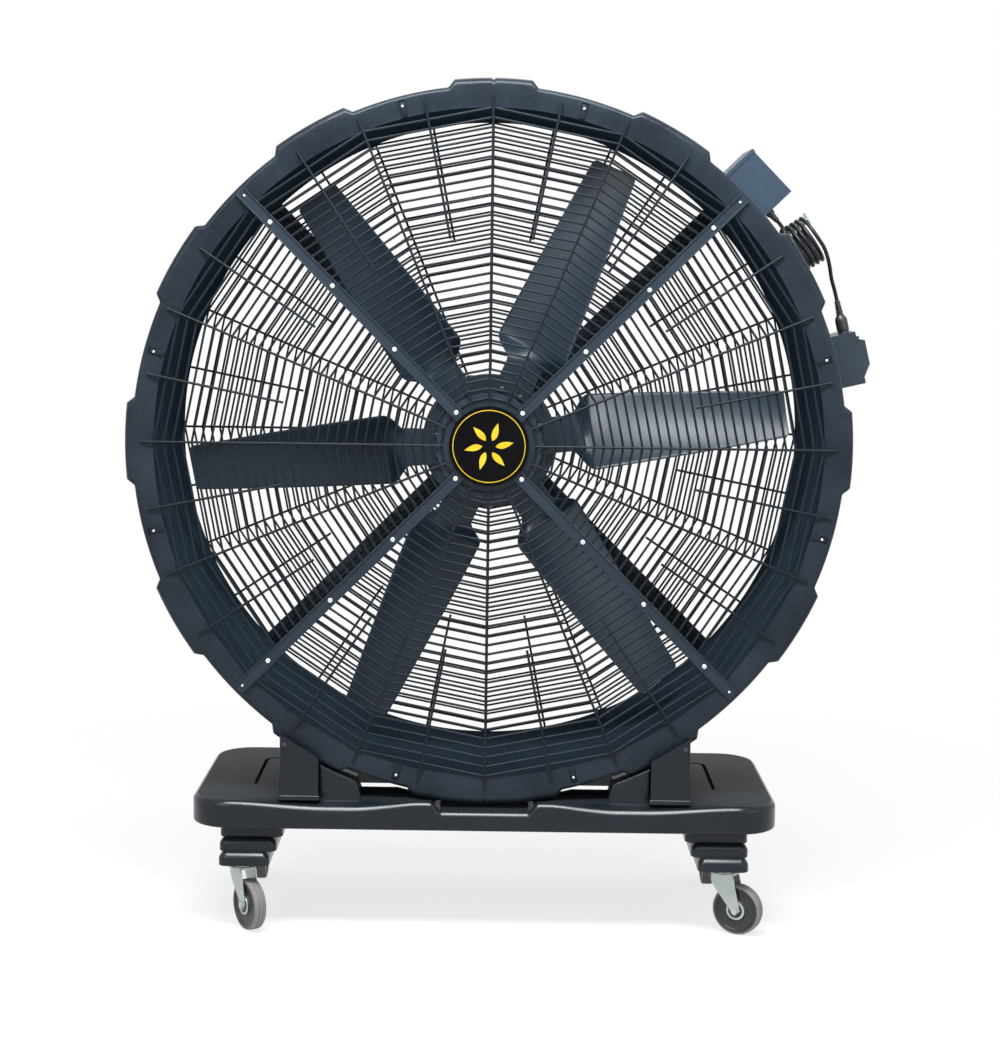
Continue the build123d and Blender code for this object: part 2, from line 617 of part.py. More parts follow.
def fork_leg():
    """One leg of the fork, in the plane along the trail: wide at the crown and narrow at the axle."""
    boss = 13.0
    waist = 0.45
    outline = [
        (-CROWN_RADIUS * 0.8, FORK_TOP),
        (CROWN_RADIUS * 0.85, FORK_TOP),
        (CROWN_RADIUS, FORK_TOP - 12),
        (CASTER_TRAIL + boss, WHEEL_RADIUS),
        (CASTER_TRAIL, WHEEL_RADIUS - boss),
        (CASTER_TRAIL - boss, WHEEL_RADIUS + 2),
        (-CROWN_RADIUS * waist, FORK_TOP - 40),
        (-CROWN_RADIUS * 0.8, FORK_TOP - 22),
    ]
    inside = FORK_INSIDE / 2
    leg = extrude(Plane.XZ * polygon(outline), amount=-FORK_WALL)
    return Pos(0, inside, 0) * leg


def fork():
    """Fork with its crown, king pin, axle and axle nuts."""
    crown_outline = RegularPolygon(CROWN_RADIUS, 8, major_radius=False, rotation=22.5)
    crown = Pos(0, 0, FORK_TOP - CROWN_THICK) * extrude(crown_outline, amount=CROWN_THICK)
    leg = fork_leg()
    body = crown + leg + mirror(leg, about=Plane.XZ)
    pin_top = FOOT_BOTTOM - PLATE_THICK - PIN_HEAD_HIGH
    body += Pos(0, 0, FORK_TOP) * extrude(Circle(PIN_RADIUS), amount=pin_top - FORK_TOP)
    body += Pos(0, 0, pin_top) * extrude(RegularPolygon(PIN_HEAD_RADIUS, 6), amount=PIN_HEAD_HIGH)
    outer = FORK_INSIDE / 2 + FORK_WALL
    body += axle_plane() * extrude(Circle(AXLE_RADIUS), amount=outer, both=True)
    nut = axle_plane() * (Pos(0, 0, outer) * extrude(RegularPolygon(AXLE_RADIUS * 1.8, 6), amount=AXLE_NUT))
    return body + nut + mirror(nut, about=Plane.XZ)


def axle_plane():
    """The wheel's middle plane, square to its axle."""
    return Plane(origin=(CASTER_TRAIL, 0, WHEEL_RADIUS), x_dir=(1, 0, 0), z_dir=(0, 1, 0))


def wheel():
    """Solid tyre and core in one, with a many-sided boss on each side that keeps it between the legs."""
    disc = extrude(Circle(WHEEL_RADIUS), amount=WHEEL_WIDTH / 2, both=True)
    disc += extrude(RegularPolygon(WHEEL_BOSS, WHEEL_BOSS_SIDES), amount=FORK_INSIDE / 2 - SEAT_GAP, both=True)
    bore = extrude(Circle(AXLE_RADIUS + RUNNING_FIT), amount=FORK_INSIDE, both=True)
    return axle_plane() * (disc - bore)


def pedal():
    """Brake pedal of a rear caster: a plate on a cross pin, out past the wheel, up at rest."""
    pin_x = CROWN_RADIUS * 0.75
    pin_z = FORK_TOP - 16
    outer = FORK_INSIDE / 2 + FORK_WALL
    place = Plane(origin=(pin_x, 0, pin_z), x_dir=(1, 0, 0), z_dir=(0, 1, 0))
    pin = place * extrude(Circle(PEDAL_PIN), amount=outer + 1.5, both=True)
    slope = 12.0
    plate = Pos(PEDAL_LENGTH / 2 - PEDAL_PIN, 0, 0) * Box(PEDAL_LENGTH, PEDAL_WIDTH, PEDAL_THICK)
    toe = Pos(PEDAL_LENGTH - PEDAL_PIN - 14, 0, 0) * Box(28, PEDAL_WIDTH * 1.5, PEDAL_THICK)
    lever = Pos(pin_x, 0, pin_z) * (Rot(0, slope, 0) * (plate + toe))
    return lever + pin


def pedal_bore():
    """Cutter for the pin's holes in a braked fork."""
    place = Plane(origin=(CROWN_RADIUS * 0.75, 0, FORK_TOP - 16), x_dir=(1, 0, 0), z_dir=(0, 1, 0))
    return place * extrude(Circle(PEDAL_PIN + RUNNING_FIT), amount=FORK_INSIDE, both=True)


def casters():
    plates = []
    for corner in CORNERS:
        frame = caster_frame(corner)
        sx, sy = CORNERS[corner]
        plates.append(Location((sx * CASTER_X, sy * CASTER_Y, 0)) * caster_plate())
        body = fork()
        if corner.startswith("rear"):
            body -= pedal_bore()
            save(f"brake_pedal_{corner}", frame * pedal())
        save(f"caster_fork_{corner}", frame * body)
        save(f"wheel_{corner}", frame * wheel())
    save("caster_plates", *plates)


# ---------------------------------------------------------------- electrical boxes
def barrel_cut():
    """The barrel's round outside, for shaping what is bolted to it."""
    return extrude(Circle(BARREL_RADIUS + SEAT_GAP), amount=HALF_DEPTH, both=True)


def drive_box():
    """Sheet-metal box on the barrel, open on its upper side, with a lid that laps over its edges."""
    back = DRIVE_FRONT - DRIVE_LENGTH
    half = DRIVE_WIDTH / 2
    floor = BARREL_RADIUS - 8
    body = block((floor, -half, back), (DRIVE_OUTER, half - SHEET, DRIVE_FRONT))
    body -= turned(-DRIVE_ANGLE, barrel_cut())
    body -= block(
        (BARREL_RADIUS + 6, -half + SHEET, back + SHEET), (DRIVE_OUTER - SHEET, half, DRIVE_FRONT - SHEET)
    )
    save_fan("drive_box", turned(DRIVE_ANGLE, body))
    lid = block((BARREL_RADIUS + 1, half - SHEET, back - SHEET), (DRIVE_OUTER + SHEET, half, DRIVE_FRONT + SHEET))
    rim = block(
        (BARREL_RADIUS + 1, half - LID_LIP, back - SHEET), (DRIVE_OUTER + SHEET, half, DRIVE_FRONT + SHEET)
    )
    rim -= block((0, -half, back), (DRIVE_OUTER, half, DRIVE_FRONT))
    save_fan("drive_box_lid", turned(DRIVE_ANGLE, lid + rim))
    nut = extrude(RegularPolygon(CORD_DIAMETER * 1.2, 6), amount=GLAND_LENGTH * 0.3)
    sleeve = extrude(RegularPolygon(CORD_DIAMETER * 0.8, 12), amount=GLAND_LENGTH)
    side = Plane(origin=(GLAND_U, -half, GLAND_DEPTH), x_dir=(1, 0, 0), z_dir=(0, -1, 0))
    save_fan("cord_gland", turned(DRIVE_ANGLE, side * (nut + sleeve)))


FLAP_TOP = FLAP_LENGTH / 2 - 3
HINGE_V = FLAP_TOP + 4
HINGE_U = SWITCH_OUTER + 3.5
PANEL_U = SWITCH_OUTER - PANEL_DEPTH


def flap_profile(inset):
    """Side profile of the faceted flap, drawn in by a wall."""
    base = SWITCH_OUTER + SEAT_GAP
    crest = SWITCH_OUTER + FLAP_HIGH - inset
    foot = FLAP_TOP - FLAP_LENGTH
    return [
        (base, FLAP_TOP - inset),
        (crest, FLAP_TOP - FLAP_HIGH * 0.3 - inset),
        (crest, FLAP_TOP - FLAP_HIGH * 0.3 - FLAP_FLAT + inset),
        (base, foot + inset * 1.5),
    ]


def switch_box():
    """Moulded switch box with a sunk panel under a hinged flap, the breaker, the knob and the cable socket."""
    back = SWITCH_FRONT - SWITCH_LENGTH
    half = SWITCH_WIDTH / 2
    middle = (SWITCH_FRONT + back) / 2
    body = block((BARREL_RADIUS - 8, -half, back), (SWITCH_OUTER, half, SWITCH_FRONT))
    body -= turned(-SWITCH_ANGLE, barrel_cut())
    reach = FLAP_WIDTH / 2 - 2 * FLAP_WALL
    body -= block((PANEL_U, FLAP_TOP - FLAP_LENGTH + 14, middle - reach), (SWITCH_OUTER + 1, FLAP_TOP - 6, middle + reach))
    lug_reach = FLAP_WIDTH / 2 + 6
    for side in (-1, 1):
        low, high = sorted((middle + side * (lug_reach - 5.5), middle + side * lug_reach))
        body += block((SWITCH_OUTER, HINGE_V - 3.5, low), (HINGE_U + 3.5, HINGE_V + 3.5, high))
    bore = Pos(HINGE_U, HINGE_V, middle) * extrude(Circle(HINGE_PIN + RUNNING_FIT), amount=lug_reach + 1, both=True)
    body -= bore
    knob_place = Plane(origin=(PANEL_U, -18, middle + 28), x_dir=(0, 0, 1), z_dir=(1, 0, 0))
    body -= knob_place * extrude(Circle(3 + RUNNING_FIT), amount=-12)
    toggle_slot = block((PANEL_U - 11, -9, middle - 38), (PANEL_U + 1, 9, middle - 26))
    body -= toggle_slot
    toggle_axis = Pos(PANEL_U - 5, 0, middle - 32)
    body -= toggle_axis * extrude(Circle(2 + RUNNING_FIT), amount=10, both=True)
    socket = Plane(origin=(CONNECTOR_U, half, CONNECTOR_DEPTH), x_dir=(1, 0, 0), z_dir=(0, 1, 0))
    body += socket * extrude(Circle(CONNECTOR_WIDTH * 0.45), amount=SOCKET_HIGH)
    save_fan("switch_box", turned(SWITCH_ANGLE, body))

    shell = extrude(polygon(flap_profile(0)), amount=FLAP_WIDTH / 2, both=True)
    shell -= extrude(polygon(flap_profile(FLAP_WALL)), amount=FLAP_WIDTH / 2 - FLAP_WALL, both=True)
    knuckle = Pos(HINGE_U, HINGE_V, 0) * extrude(Circle(3), amount=FLAP_WIDTH / 2, both=True)
    web = block((HINGE_U - 1, FLAP_TOP - 1.5, -FLAP_WIDTH / 2), (HINGE_U + 1, HINGE_V, FLAP_WIDTH / 2))
    pin = Pos(HINGE_U, HINGE_V, 0) * extrude(Circle(HINGE_PIN), amount=lug_reach, both=True)
    flap = shell + knuckle + web + pin
    save_fan("switch_flap", turned(SWITCH_ANGLE, Pos(0, 0, middle) * flap))

    knob = Pos(0, 0, 1) * extrude(RegularPolygon(KNOB_RADIUS, 12), amount=KNOB_HIGH - 1)
    knob -= Pos(0, KNOB_RADIUS - 4, KNOB_HIGH - 1.5) * Box(2, 8, 3)
    knob += Pos(0, 0, -10) * extrude(Circle(3), amount=12)
    save_fan("speed_knob", turned(SWITCH_ANGLE, knob_place * knob))

    lever = extrude(Rectangle(5, 9), amount=TOGGLE_LENGTH)
    place = Plane(origin=(PANEL_U - 5, 0, middle - 32), x_dir=(0, 1, 0), z_dir=(1, 0, 0))
    drum = toggle_axis * extrude(Circle(2), amount=9, both=True)
    tilt = Location((PANEL_U - 5, 0, middle - 32), (0, 0, 18)) * Location((5 - PANEL_U, 0, 32 - middle))
    save_fan("breaker_toggle", turned(SWITCH_ANGLE, tilt * (place * lever) + drum))

    rear = Plane(origin=((BARREL_RADIUS + SWITCH_OUTER) / 2, 0, back), x_dir=(1, 0, 0), z_dir=(0, 0, -1))
    inlet = extrude(RegularPolygon(14, 6), amount=10)
    inlet += Pos(0, 0, 10) * extrude(RegularPolygon(10, 12), amount=12)
    inlet -= Pos(0, 0, 2) * extrude(RegularPolygon(CORD_DIAMETER / 2, 12), amount=30)
    save_fan("mains_inlet", turned(SWITCH_ANGLE, rear * inlet))


# ---------------------------------------------------------------- cable
def coil_point(turn):
    """A point on the coil's centre line, in the fan frame, after so many turns."""
    angle = 2 * pi * turn
    along = COIL_FROM + COIL_PITCH * turn
    point = Vector(along, -COIL_RADIUS * sin(angle), COIL_RADIUS * cos(angle))
    return point.rotate(Axis.Z, COIL_ANGLE)


def coil_tangent(turn):
    """The cable's direction there."""
    angle = 2 * pi * turn
    around = 2 * pi * COIL_RADIUS
    way = Vector(COIL_PITCH, -around * cos(angle), -around * sin(angle))
    return way.normalized().rotate(Axis.Z, COIL_ANGLE)


def coil_ends():
    """Where the cable leaves the coil: one diameter straight on from the first and the last turn."""
    first = coil_point(0) - coil_tangent(0) * CORD_DIAMETER
    last = coil_point(COIL_TURNS) + coil_tangent(COIL_TURNS) * CORD_DIAMETER
    return first, last


def biarc(start, start_way, end, end_way):
    """Two arcs that leave one point and reach the next in the directions given."""
    gap = end - start
    ways = start_way + end_way
    spare = 2 * (1 - start_way.dot(end_way))
    reach = (-gap.dot(ways) + sqrt(gap.dot(ways) ** 2 + spare * gap.dot(gap))) / spare
    first_knee = start + start_way * reach
    last_knee = end - end_way * reach
    middle = (first_knee + last_knee) * 0.5
    join_way = (last_knee - first_knee).normalized()
    return [Edge.make_tangent_arc(start, start_way, middle), Edge.make_tangent_arc(middle, join_way, end)]


def cord_section(at, way):
    """The cable's faceted section, square to its direction."""
    return Plane(origin=at, z_dir=way) * RegularPolygon(CORD_DIAMETER / 2, CORD_SIDES)


def coil():
    """The hung coil: one unbroken tube on biarcs of half a turn."""
    arcs = []
    halves = 2 * COIL_TURNS
    for i in range(halves):
        a, b = i / 2, (i + 1) / 2
        arcs += biarc(coil_point(a), coil_tangent(a), coil_point(b), coil_tangent(b))
    first, last = coil_ends()
    lead_in = Edge.make_line(first, coil_point(0))
    lead_out = Edge.make_line(coil_point(COIL_TURNS), last)
    winding = Wire(arcs)
    path = Wire([lead_in, *arcs, lead_out])
    steps = 40
    points = [winding @ (i / (COIL_TURNS * steps)) for i in range(COIL_TURNS * steps + 1)]
    near = steps // 2
    gap = min(
        (points[i] - points[j]).length
        for i in range(len(points))
        for j in range(i + near, min(i + 3 * near, len(points)))
    )
    print(f"coil: least gap between turns {gap - CORD_DIAMETER:.2f} mm, length {path.length:.0f} mm")
    return sweep(cord_section(first, coil_tangent(0)), path=path)


def cord_tube(name, route):
    """A free stretch of cable: straight runs joined by arcs as large as the runs allow."""
    radii = []
    for before, at, after in zip(route, route[1:], route[2:]):
        turn = radians((at - before).get_angle(after - at))
        run = min((at - before).length, (after - at).length)
        radii.append(0.45 * run / tan(turn / 2))
    path = FilletPolyline(*route, radius=radii)
    tube = sweep(cord_section(route[0], route[1] - route[0]), path=path)
    section = cord_section(route[0], route[1] - route[0]).area
    share = tube.volume / (section * path.length)
    print(f"{name}: length {path.length:.0f} mm, radii {[round(r) for r in radii]}, volume share {share:.4f}")
    return tube


def cable():
    """The whole cable from the drive box's gland through the coil to the connector, and the hook."""
    start, end = coil_ends()
    half = DRIVE_WIDTH / 2
    exit_point = Vector(GLAND_U, -half - GLAND_LENGTH, GLAND_DEPTH).rotate(Axis.Z, DRIVE_ANGLE)
    exit_way = Vector(0, -1, 0).rotate(Axis.Z, DRIVE_ANGLE)
    feed = [exit_point, exit_point + exit_way * 26, start - coil_tangent(0) * 26, start]
    top = SWITCH_WIDTH / 2 + SOCKET_HIGH + CONNECTOR_HIGH + RELIEF_LENGTH
    entry = Vector(CONNECTOR_U, top, CONNECTOR_DEPTH).rotate(Axis.Z, SWITCH_ANGLE)
    entry_way = Vector(0, -1, 0).rotate(Axis.Z, SWITCH_ANGLE)
    drop = [end, end + coil_tangent(COIL_TURNS) * 24]
    for rise, behind, depth in ((93.6, 4.3, 50), (83, 6.6, 34)):
        drop.append(Vector(BARREL_RADIUS + rise, 0, depth).rotate(Axis.Z, COIL_ANGLE - behind))
    drop += [entry - entry_way * 26, entry]
    save_fan("cord_feed", cord_tube("feed", feed))
    save_fan("cord_coil", coil())
    save_fan("cord_drop", cord_tube("drop", drop))

    base = Plane(origin=(CONNECTOR_U, SWITCH_WIDTH / 2 + SOCKET_HIGH, CONNECTOR_DEPTH), x_dir=(1, 0, 0), z_dir=(0, 1, 0))
    body = extrude(RegularPolygon(CONNECTOR_WIDTH / 2, 8, major_radius=False), amount=CONNECTOR_HIGH)
    neck = CORD_DIAMETER / 2 + 1.5
    relief = Pos(0, 0, CONNECTOR_HIGH) * extrude(RegularPolygon(neck, 8), amount=RELIEF_LENGTH)
    ribs = 5
    for i in range(ribs):
        rise = CONNECTOR_HIGH + 3 + i * (RELIEF_LENGTH - 8) / (ribs - 1)
        relief += Pos(0, 0, rise) * extrude(RegularPolygon(neck + 3 - 0.35 * i, 8), amount=3)
    save_fan("cord_connector", turned(SWITCH_ANGLE, base * (body + relief)))

    peg_t = COIL_RADIUS - CORD_DIAMETER / 2 - HOOK_RADIUS - SEAT_GAP
    peg_end = COIL_FROM + COIL_TURNS * COIL_PITCH + CORD_DIAMETER
    along = Plane(origin=(PAD_RADIUS - 6, peg_t, 0), x_dir=(0, 1, 0), z_dir=(1, 0, 0))
    peg = along * extrude(Circle(HOOK_RADIUS), amount=peg_end - PAD_RADIUS + 6)
    stop = Pos(peg_end, peg_t + HOOK_RADIUS / 2, 0) * Box(4, 4 * HOOK_RADIUS, 3 * HOOK_RADIUS)
    reach = HOOK_RADIUS + 2
    foot = block((PAD_RADIUS - 8, peg_t - reach, -2 * reach), (PAD_RADIUS + 3, peg_t + reach, 2 * reach))
    hook = foot + peg + stop
    hook -= turned(-COIL_ANGLE, extrude(Circle(PAD_RADIUS + SEAT_GAP), amount=HALF_DEPTH, both=True))
    save_fan("cord_hook", turned(COIL_ANGLE, hook))


# ---------------------------------------------------------------- build
drum_halves()
grilles()
arms()
motor()
rotor()
deck()
uprights()
corner_feet()
casters()
drive_box()
switch_box()
cable()
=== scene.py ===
# %% [markdown]
# A large drum fan on casters is dressed here.
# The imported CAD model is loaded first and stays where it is: it gives every place and size.
# Every Blender piece is made in metres in that same frame, rides on one of its bodies, and where it stands
# for a CAD piece it replaces it.

# %% load the frame
from math import atan2, cos, degrees, pi, radians, sin, sqrt, tan

import bmesh
import bpy
from mathutils import Matrix, Vector


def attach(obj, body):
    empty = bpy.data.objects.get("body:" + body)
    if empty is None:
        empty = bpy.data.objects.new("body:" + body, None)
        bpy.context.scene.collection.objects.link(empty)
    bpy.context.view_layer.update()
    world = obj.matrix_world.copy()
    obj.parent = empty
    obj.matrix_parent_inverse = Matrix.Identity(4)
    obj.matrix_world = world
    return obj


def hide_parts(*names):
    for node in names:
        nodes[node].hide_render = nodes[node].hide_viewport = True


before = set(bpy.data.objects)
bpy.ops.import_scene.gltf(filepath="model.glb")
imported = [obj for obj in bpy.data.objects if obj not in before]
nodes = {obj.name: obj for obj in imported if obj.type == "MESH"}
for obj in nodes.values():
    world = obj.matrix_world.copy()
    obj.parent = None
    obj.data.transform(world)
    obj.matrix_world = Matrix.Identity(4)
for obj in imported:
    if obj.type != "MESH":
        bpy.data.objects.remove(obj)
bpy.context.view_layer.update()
scene = bpy.context.scene

# %% [markdown]
# The drum stands upright on its side, so it is easiest to draw it lying down: x to the right, y up the
# photograph and z out of the front grille, from the middle of the drum.
# One matrix then stands the finished mesh up at the height of the axis, and no object is ever turned.

# %% the fan's own frame
MM = 0.001
HUB_HEIGHT = 1210 * MM
STAND_UP = Matrix.Translation((0, 0, HUB_HEIGHT)) @ Matrix.Rotation(pi / 2, 4, "X")


def fan_point(x, y, z):
    """A point given in the fan's frame in millimetres, as a place in the room in metres."""
    return STAND_UP @ Vector((x * MM, y * MM, z * MM))


def turned(x, y, z, angle):
    """The same point turned about the fan's axis."""
    c, s = cos(radians(angle)), sin(radians(angle))
    return (x * c - y * s, x * s + y * c, z)


def put(name, data):
    """Put data into the scene as an object at the origin."""
    made = bpy.data.objects.new(name, data)
    scene.collection.objects.link(made)
    return made


print("axis at", [round(value, 3) for value in fan_point(0, 0, 0)])

# %% [markdown]
# The photograph is taken from about five metres, from higher than the hub, with a long lens that is a hair
# out of level.
# Its upright edges hardly lean together, which a shifted picture gives, and the closest fit of the measured
# edges has a shift of a fifth of the frame.
# Every other view keeps the shift and would lose the top of the fan, so the camera is tilted down a little
# more here and shifted by a twelfth, which moves most edges by two or three pixels.

# %% camera
view = bpy.data.cameras.new("view")
view.lens, view.sensor_width, view.clip_end = 71.583, 36, 200
view.shift_x, view.shift_y = 0.00426, -0.07834
camera = put("view", view)
pitch, roll = radians(90 - 4.5), radians(0.7653)
heading = Matrix.Rotation(pitch, 4, "X") @ Matrix.Rotation(roll, 4, "Z")
camera.matrix_world = Matrix.Translation((0.0158, -5.3051, 1.6206)) @ heading
scene.camera = camera
print("camera at", [round(value, 3) for value in camera.matrix_world.translation])

# %% [markdown]
# A black cable leaves the drive box through a gland, is wound five times round a hook and drops into a
# connector on top of the switch box.
# A cable is one flexible thing, so it is one smooth curve: the corners of its route are the curve's control
# points, and the coil adds sixteen for each turn.

# %% cable route
CORD_DIAMETER = 10
COIL_ANGLE, COIL_FROM, COIL_RADIUS = 32.5, 900, 60
COIL_TURNS, COIL_PITCH, POINTS_PER_TURN = 5, 14, 16
BOX_ANGLE, GLAND_U, GLAND_V, GLAND_DEPTH, GLAND_LENGTH = 44.5, 904.94, -72.5, 46, 30
SWITCH_ANGLE, CONNECTOR_U, CONNECTOR_V, CONNECTOR_DEPTH = 13.3, 937.12, 66.5 + 5, 20
CONNECTOR_BODY, CONNECTOR_BOOT = 41, 37.5
STRAIGHT_END = 26


def coil_point(turn):
    """A point on the coil's centre line, in the fan's frame."""
    angle = 2 * pi * turn
    place = (COIL_FROM + COIL_PITCH * turn, -COIL_RADIUS * sin(angle), COIL_RADIUS * cos(angle))
    return Vector(turned(*place, COIL_ANGLE))


def coil_way(turn):
    """The cable's direction there."""
    angle = 2 * pi * turn
    around = 2 * pi * COIL_RADIUS
    way = (COIL_PITCH, -around * cos(angle), -around * sin(angle))
    return Vector(turned(*way, COIL_ANGLE)).normalized()


gland_end = Vector(turned(GLAND_U, GLAND_V - GLAND_LENGTH, GLAND_DEPTH, BOX_ANGLE))
gland_way = Vector(turned(0, -1, 0, BOX_ANGLE))
coil_start = coil_point(0) - coil_way(0) * CORD_DIAMETER
coil_end = coil_point(COIL_TURNS) + coil_way(COIL_TURNS) * CORD_DIAMETER
boot_end = CONNECTOR_V + CONNECTOR_BODY + CONNECTOR_BOOT
entry = Vector(turned(CONNECTOR_U, boot_end, CONNECTOR_DEPTH, SWITCH_ANGLE))
entry_way = Vector(turned(0, -1, 0, SWITCH_ANGLE))
route = [gland_end, gland_end + gland_way * STRAIGHT_END, coil_start - coil_way(0) * STRAIGHT_END, coil_start]
route += [coil_point(i / POINTS_PER_TURN) for i in range(COIL_TURNS * POINTS_PER_TURN + 1)]
route += [coil_end, coil_end + coil_way(COIL_TURNS) * 24]
route += [Vector(turned(965.6, 0, 50, COIL_ANGLE - 4.3)), Vector(turned(955, 0, 34, COIL_ANGLE - 6.6))]
route += [entry - entry_way * STRAIGHT_END, entry]
print("cable route of", len(route), "points")

# %% cable curve


def tube(name, routes, depth, radius, resolution):
    """A round bar along smooth curves, given by control points in metres; it is depth times radius thick."""
    curve = bpy.data.curves.new(name, "CURVE")
    curve.dimensions = "3D"
    curve.resolution_u = resolution
    curve.bevel_depth, curve.bevel_resolution, curve.use_fill_caps = depth, 4, True
    for places in routes:
        spline = curve.splines.new("NURBS")
        spline.points.add(len(places) - 1)
        for point, place in zip(spline.points, places):
            point.co = (*place, 1)
            point.radius = radius
        spline.order_u, spline.use_endpoint_u = 3, True
    return put(name, curve)


cable = tube("power_cable", [[fan_point(*place) for place in route]], 1.0, CORD_DIAMETER / 2 * MM, 6)
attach(cable, "base")
CORD_NODES = ["cord_feed", "cord_coil", "cord_drop"]
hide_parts(*CORD_NODES)
print("cable stands for", CORD_NODES)

# %% [markdown]
# Materials and repeated shapes are both built from nodes, so a few helpers add nodes to any tree: each
# makes one node and sets or joins its inputs, by name or by number.

# %% node tree helpers
VECTOR, FLOAT, WHOLE = "NodeSocketVector", "NodeSocketFloat", "NodeSocketInt"
STUFF, SHAPE = "NodeSocketMaterial", "NodeSocketGeometry"


def node_group(kind, name, inputs, outputs):
    """An empty node group with its sockets as (name, kind), and the sockets of its two end nodes."""
    group = bpy.data.node_groups.new(name, kind)
    for way, sockets in (("INPUT", inputs), ("OUTPUT", outputs)):
        for label, socket_kind in sockets:
            group.interface.new_socket(name=label, in_out=way, socket_type=socket_kind)
    return group, group.nodes.new("NodeGroupInput").outputs, group.nodes.new("NodeGroupOutput").inputs


def add_node(tree, kind, settings=None, at=None, **values):
    """Add a node, set its settings, and set its inputs or join them to sockets."""
    node = tree.nodes.new(kind)
    for key, value in (settings or {}).items():
        setattr(node, key, value)
    named = {label.replace("_", " "): value for label, value in values.items()}
    for label, value in {**named, **(at or {})}.items():
        if isinstance(value, bpy.types.NodeSocket):
            tree.links.new(value, node.inputs[label])
        else:
            node.inputs[label].default_value = value
    return node


def add_noise(tree, vector, scale, detail, rough=0.55):
    """A noise texture's value."""
    values = {"Vector": vector, "Scale": scale, "Detail": detail, "Roughness": rough}
    return add_node(tree, "ShaderNodeTexNoise", **values).outputs["Fac"]


def add_math(tree, operation, *values, clamp=False):
    """A sum of numbers or sockets."""
    settings = {"operation": operation, "use_clamp": clamp}
    return add_node(tree, "ShaderNodeMath", settings, dict(enumerate(values))).outputs[0]


def add_xyz(tree, x=0.0, y=0.0, z=0.0):
    """Three numbers or sockets as a vector."""
    return add_node(tree, "ShaderNodeCombineXYZ", X=x, Y=y, Z=z).outputs[0]


def upward_share(tree, normal):
    """How far a normal points up."""
    return add_node(tree, "ShaderNodeSeparateXYZ", at={0: normal}).outputs["Z"]


print("tree helpers ready")

# %% [markdown]
# Most of the fan is moulded polyethylene or powder-coated steel.
# Both have a skin that is never quite even: a fine grain from the mould or the powder, and broad soft
# changes of shade.
# That skin is a shader node group, so that every material can use it at its own scale.

# %% shared effect: skin
skin, skin_in, skin_out = node_group(
    "ShaderNodeTree", "moulded_skin", [("Vector", VECTOR), ("Grain Scale", FLOAT), ("Cloud Scale", FLOAT)],
    [("Height", FLOAT), ("Shade", FLOAT)],
)
skin_place, grain_scale, cloud_scale = (skin_in[i] for i in range(3))
grain = add_noise(skin, skin_place, grain_scale, 2.0)
pore_scale = add_math(skin, "MULTIPLY", grain_scale, 0.45)
pores = add_node(skin, "ShaderNodeTexVoronoi", {"feature": "SMOOTH_F1"}, Vector=skin_place, Scale=pore_scale)
pore_share = add_math(skin, "MULTIPLY", pores.outputs["Distance"], 0.4)
skin.links.new(add_math(skin, "MULTIPLY_ADD", grain, 0.6, pore_share), skin_out["Height"])
cloud = add_noise(skin, skin_place, cloud_scale, 4.0, 0.5)
fine = add_noise(skin, skin_place, add_math(skin, "MULTIPLY", cloud_scale, 14.0), 3.0)
mixed = add_math(skin, "MULTIPLY_ADD", cloud, 0.75, add_math(skin, "MULTIPLY", fine, 0.25))
skin.links.new(add_math(skin, "MULTIPLY_ADD", mixed, 2.4, -0.7, clamp=True), skin_out["Shade"])
print("skin group with", len(skin.nodes), "nodes")

# %% [markdown]
# Dust settles on what faces up.
# The second group makes a mask from the surface's own normal, broken up by noise, and each material decides
# how much of it to show.

# %% shared effect: dust
dust, dust_in, dust_out = node_group(
    "ShaderNodeTree", "settled_dust",
    [("Vector", VECTOR), ("Normal", VECTOR), ("Amount", FLOAT)], [("Mask", FLOAT)],
)
facing_up = add_math(dust, "MULTIPLY_ADD", upward_share(dust, dust_in["Normal"]), 0.9, 0.1, clamp=True)
patchy = add_math(dust, "MULTIPLY", facing_up, add_noise(dust, dust_in["Vector"], 7.0, 6.0, 0.62))
dust.links.new(add_math(dust, "MULTIPLY", patchy, dust_in["Amount"], clamp=True), dust_out["Mask"])
print("dust group with", len(dust.nodes), "nodes")

# %% [markdown]
# Each finish of the fan is one material with its own numbers: moulded charcoal and slate, coated wire, dark
# semi-gloss blades, zinc plate, rubber.
# What is the same all over a surface is set on the Principled shader itself, and only what changes over the
# surface comes through nodes.

# %% finishes


def srgb(text):
    """A colour written as six hexadecimal digits, as linear numbers."""
    values = [int(text[i:i + 2], 16) / 255 for i in (0, 2, 4)]
    return tuple(v / 12.92 if v <= 0.04045 else ((v + 0.055) / 1.055) ** 2.4 for v in values) + (1.0,)


DUST_COLOUR = srgb("8a8a88")


def add_mix(tree, share, first, second):
    """A mix of two colours."""
    at = {0: share, 6: first, 7: second}
    return add_node(tree, "ShaderNodeMix", {"data_type": "RGBA"}, at).outputs[2]


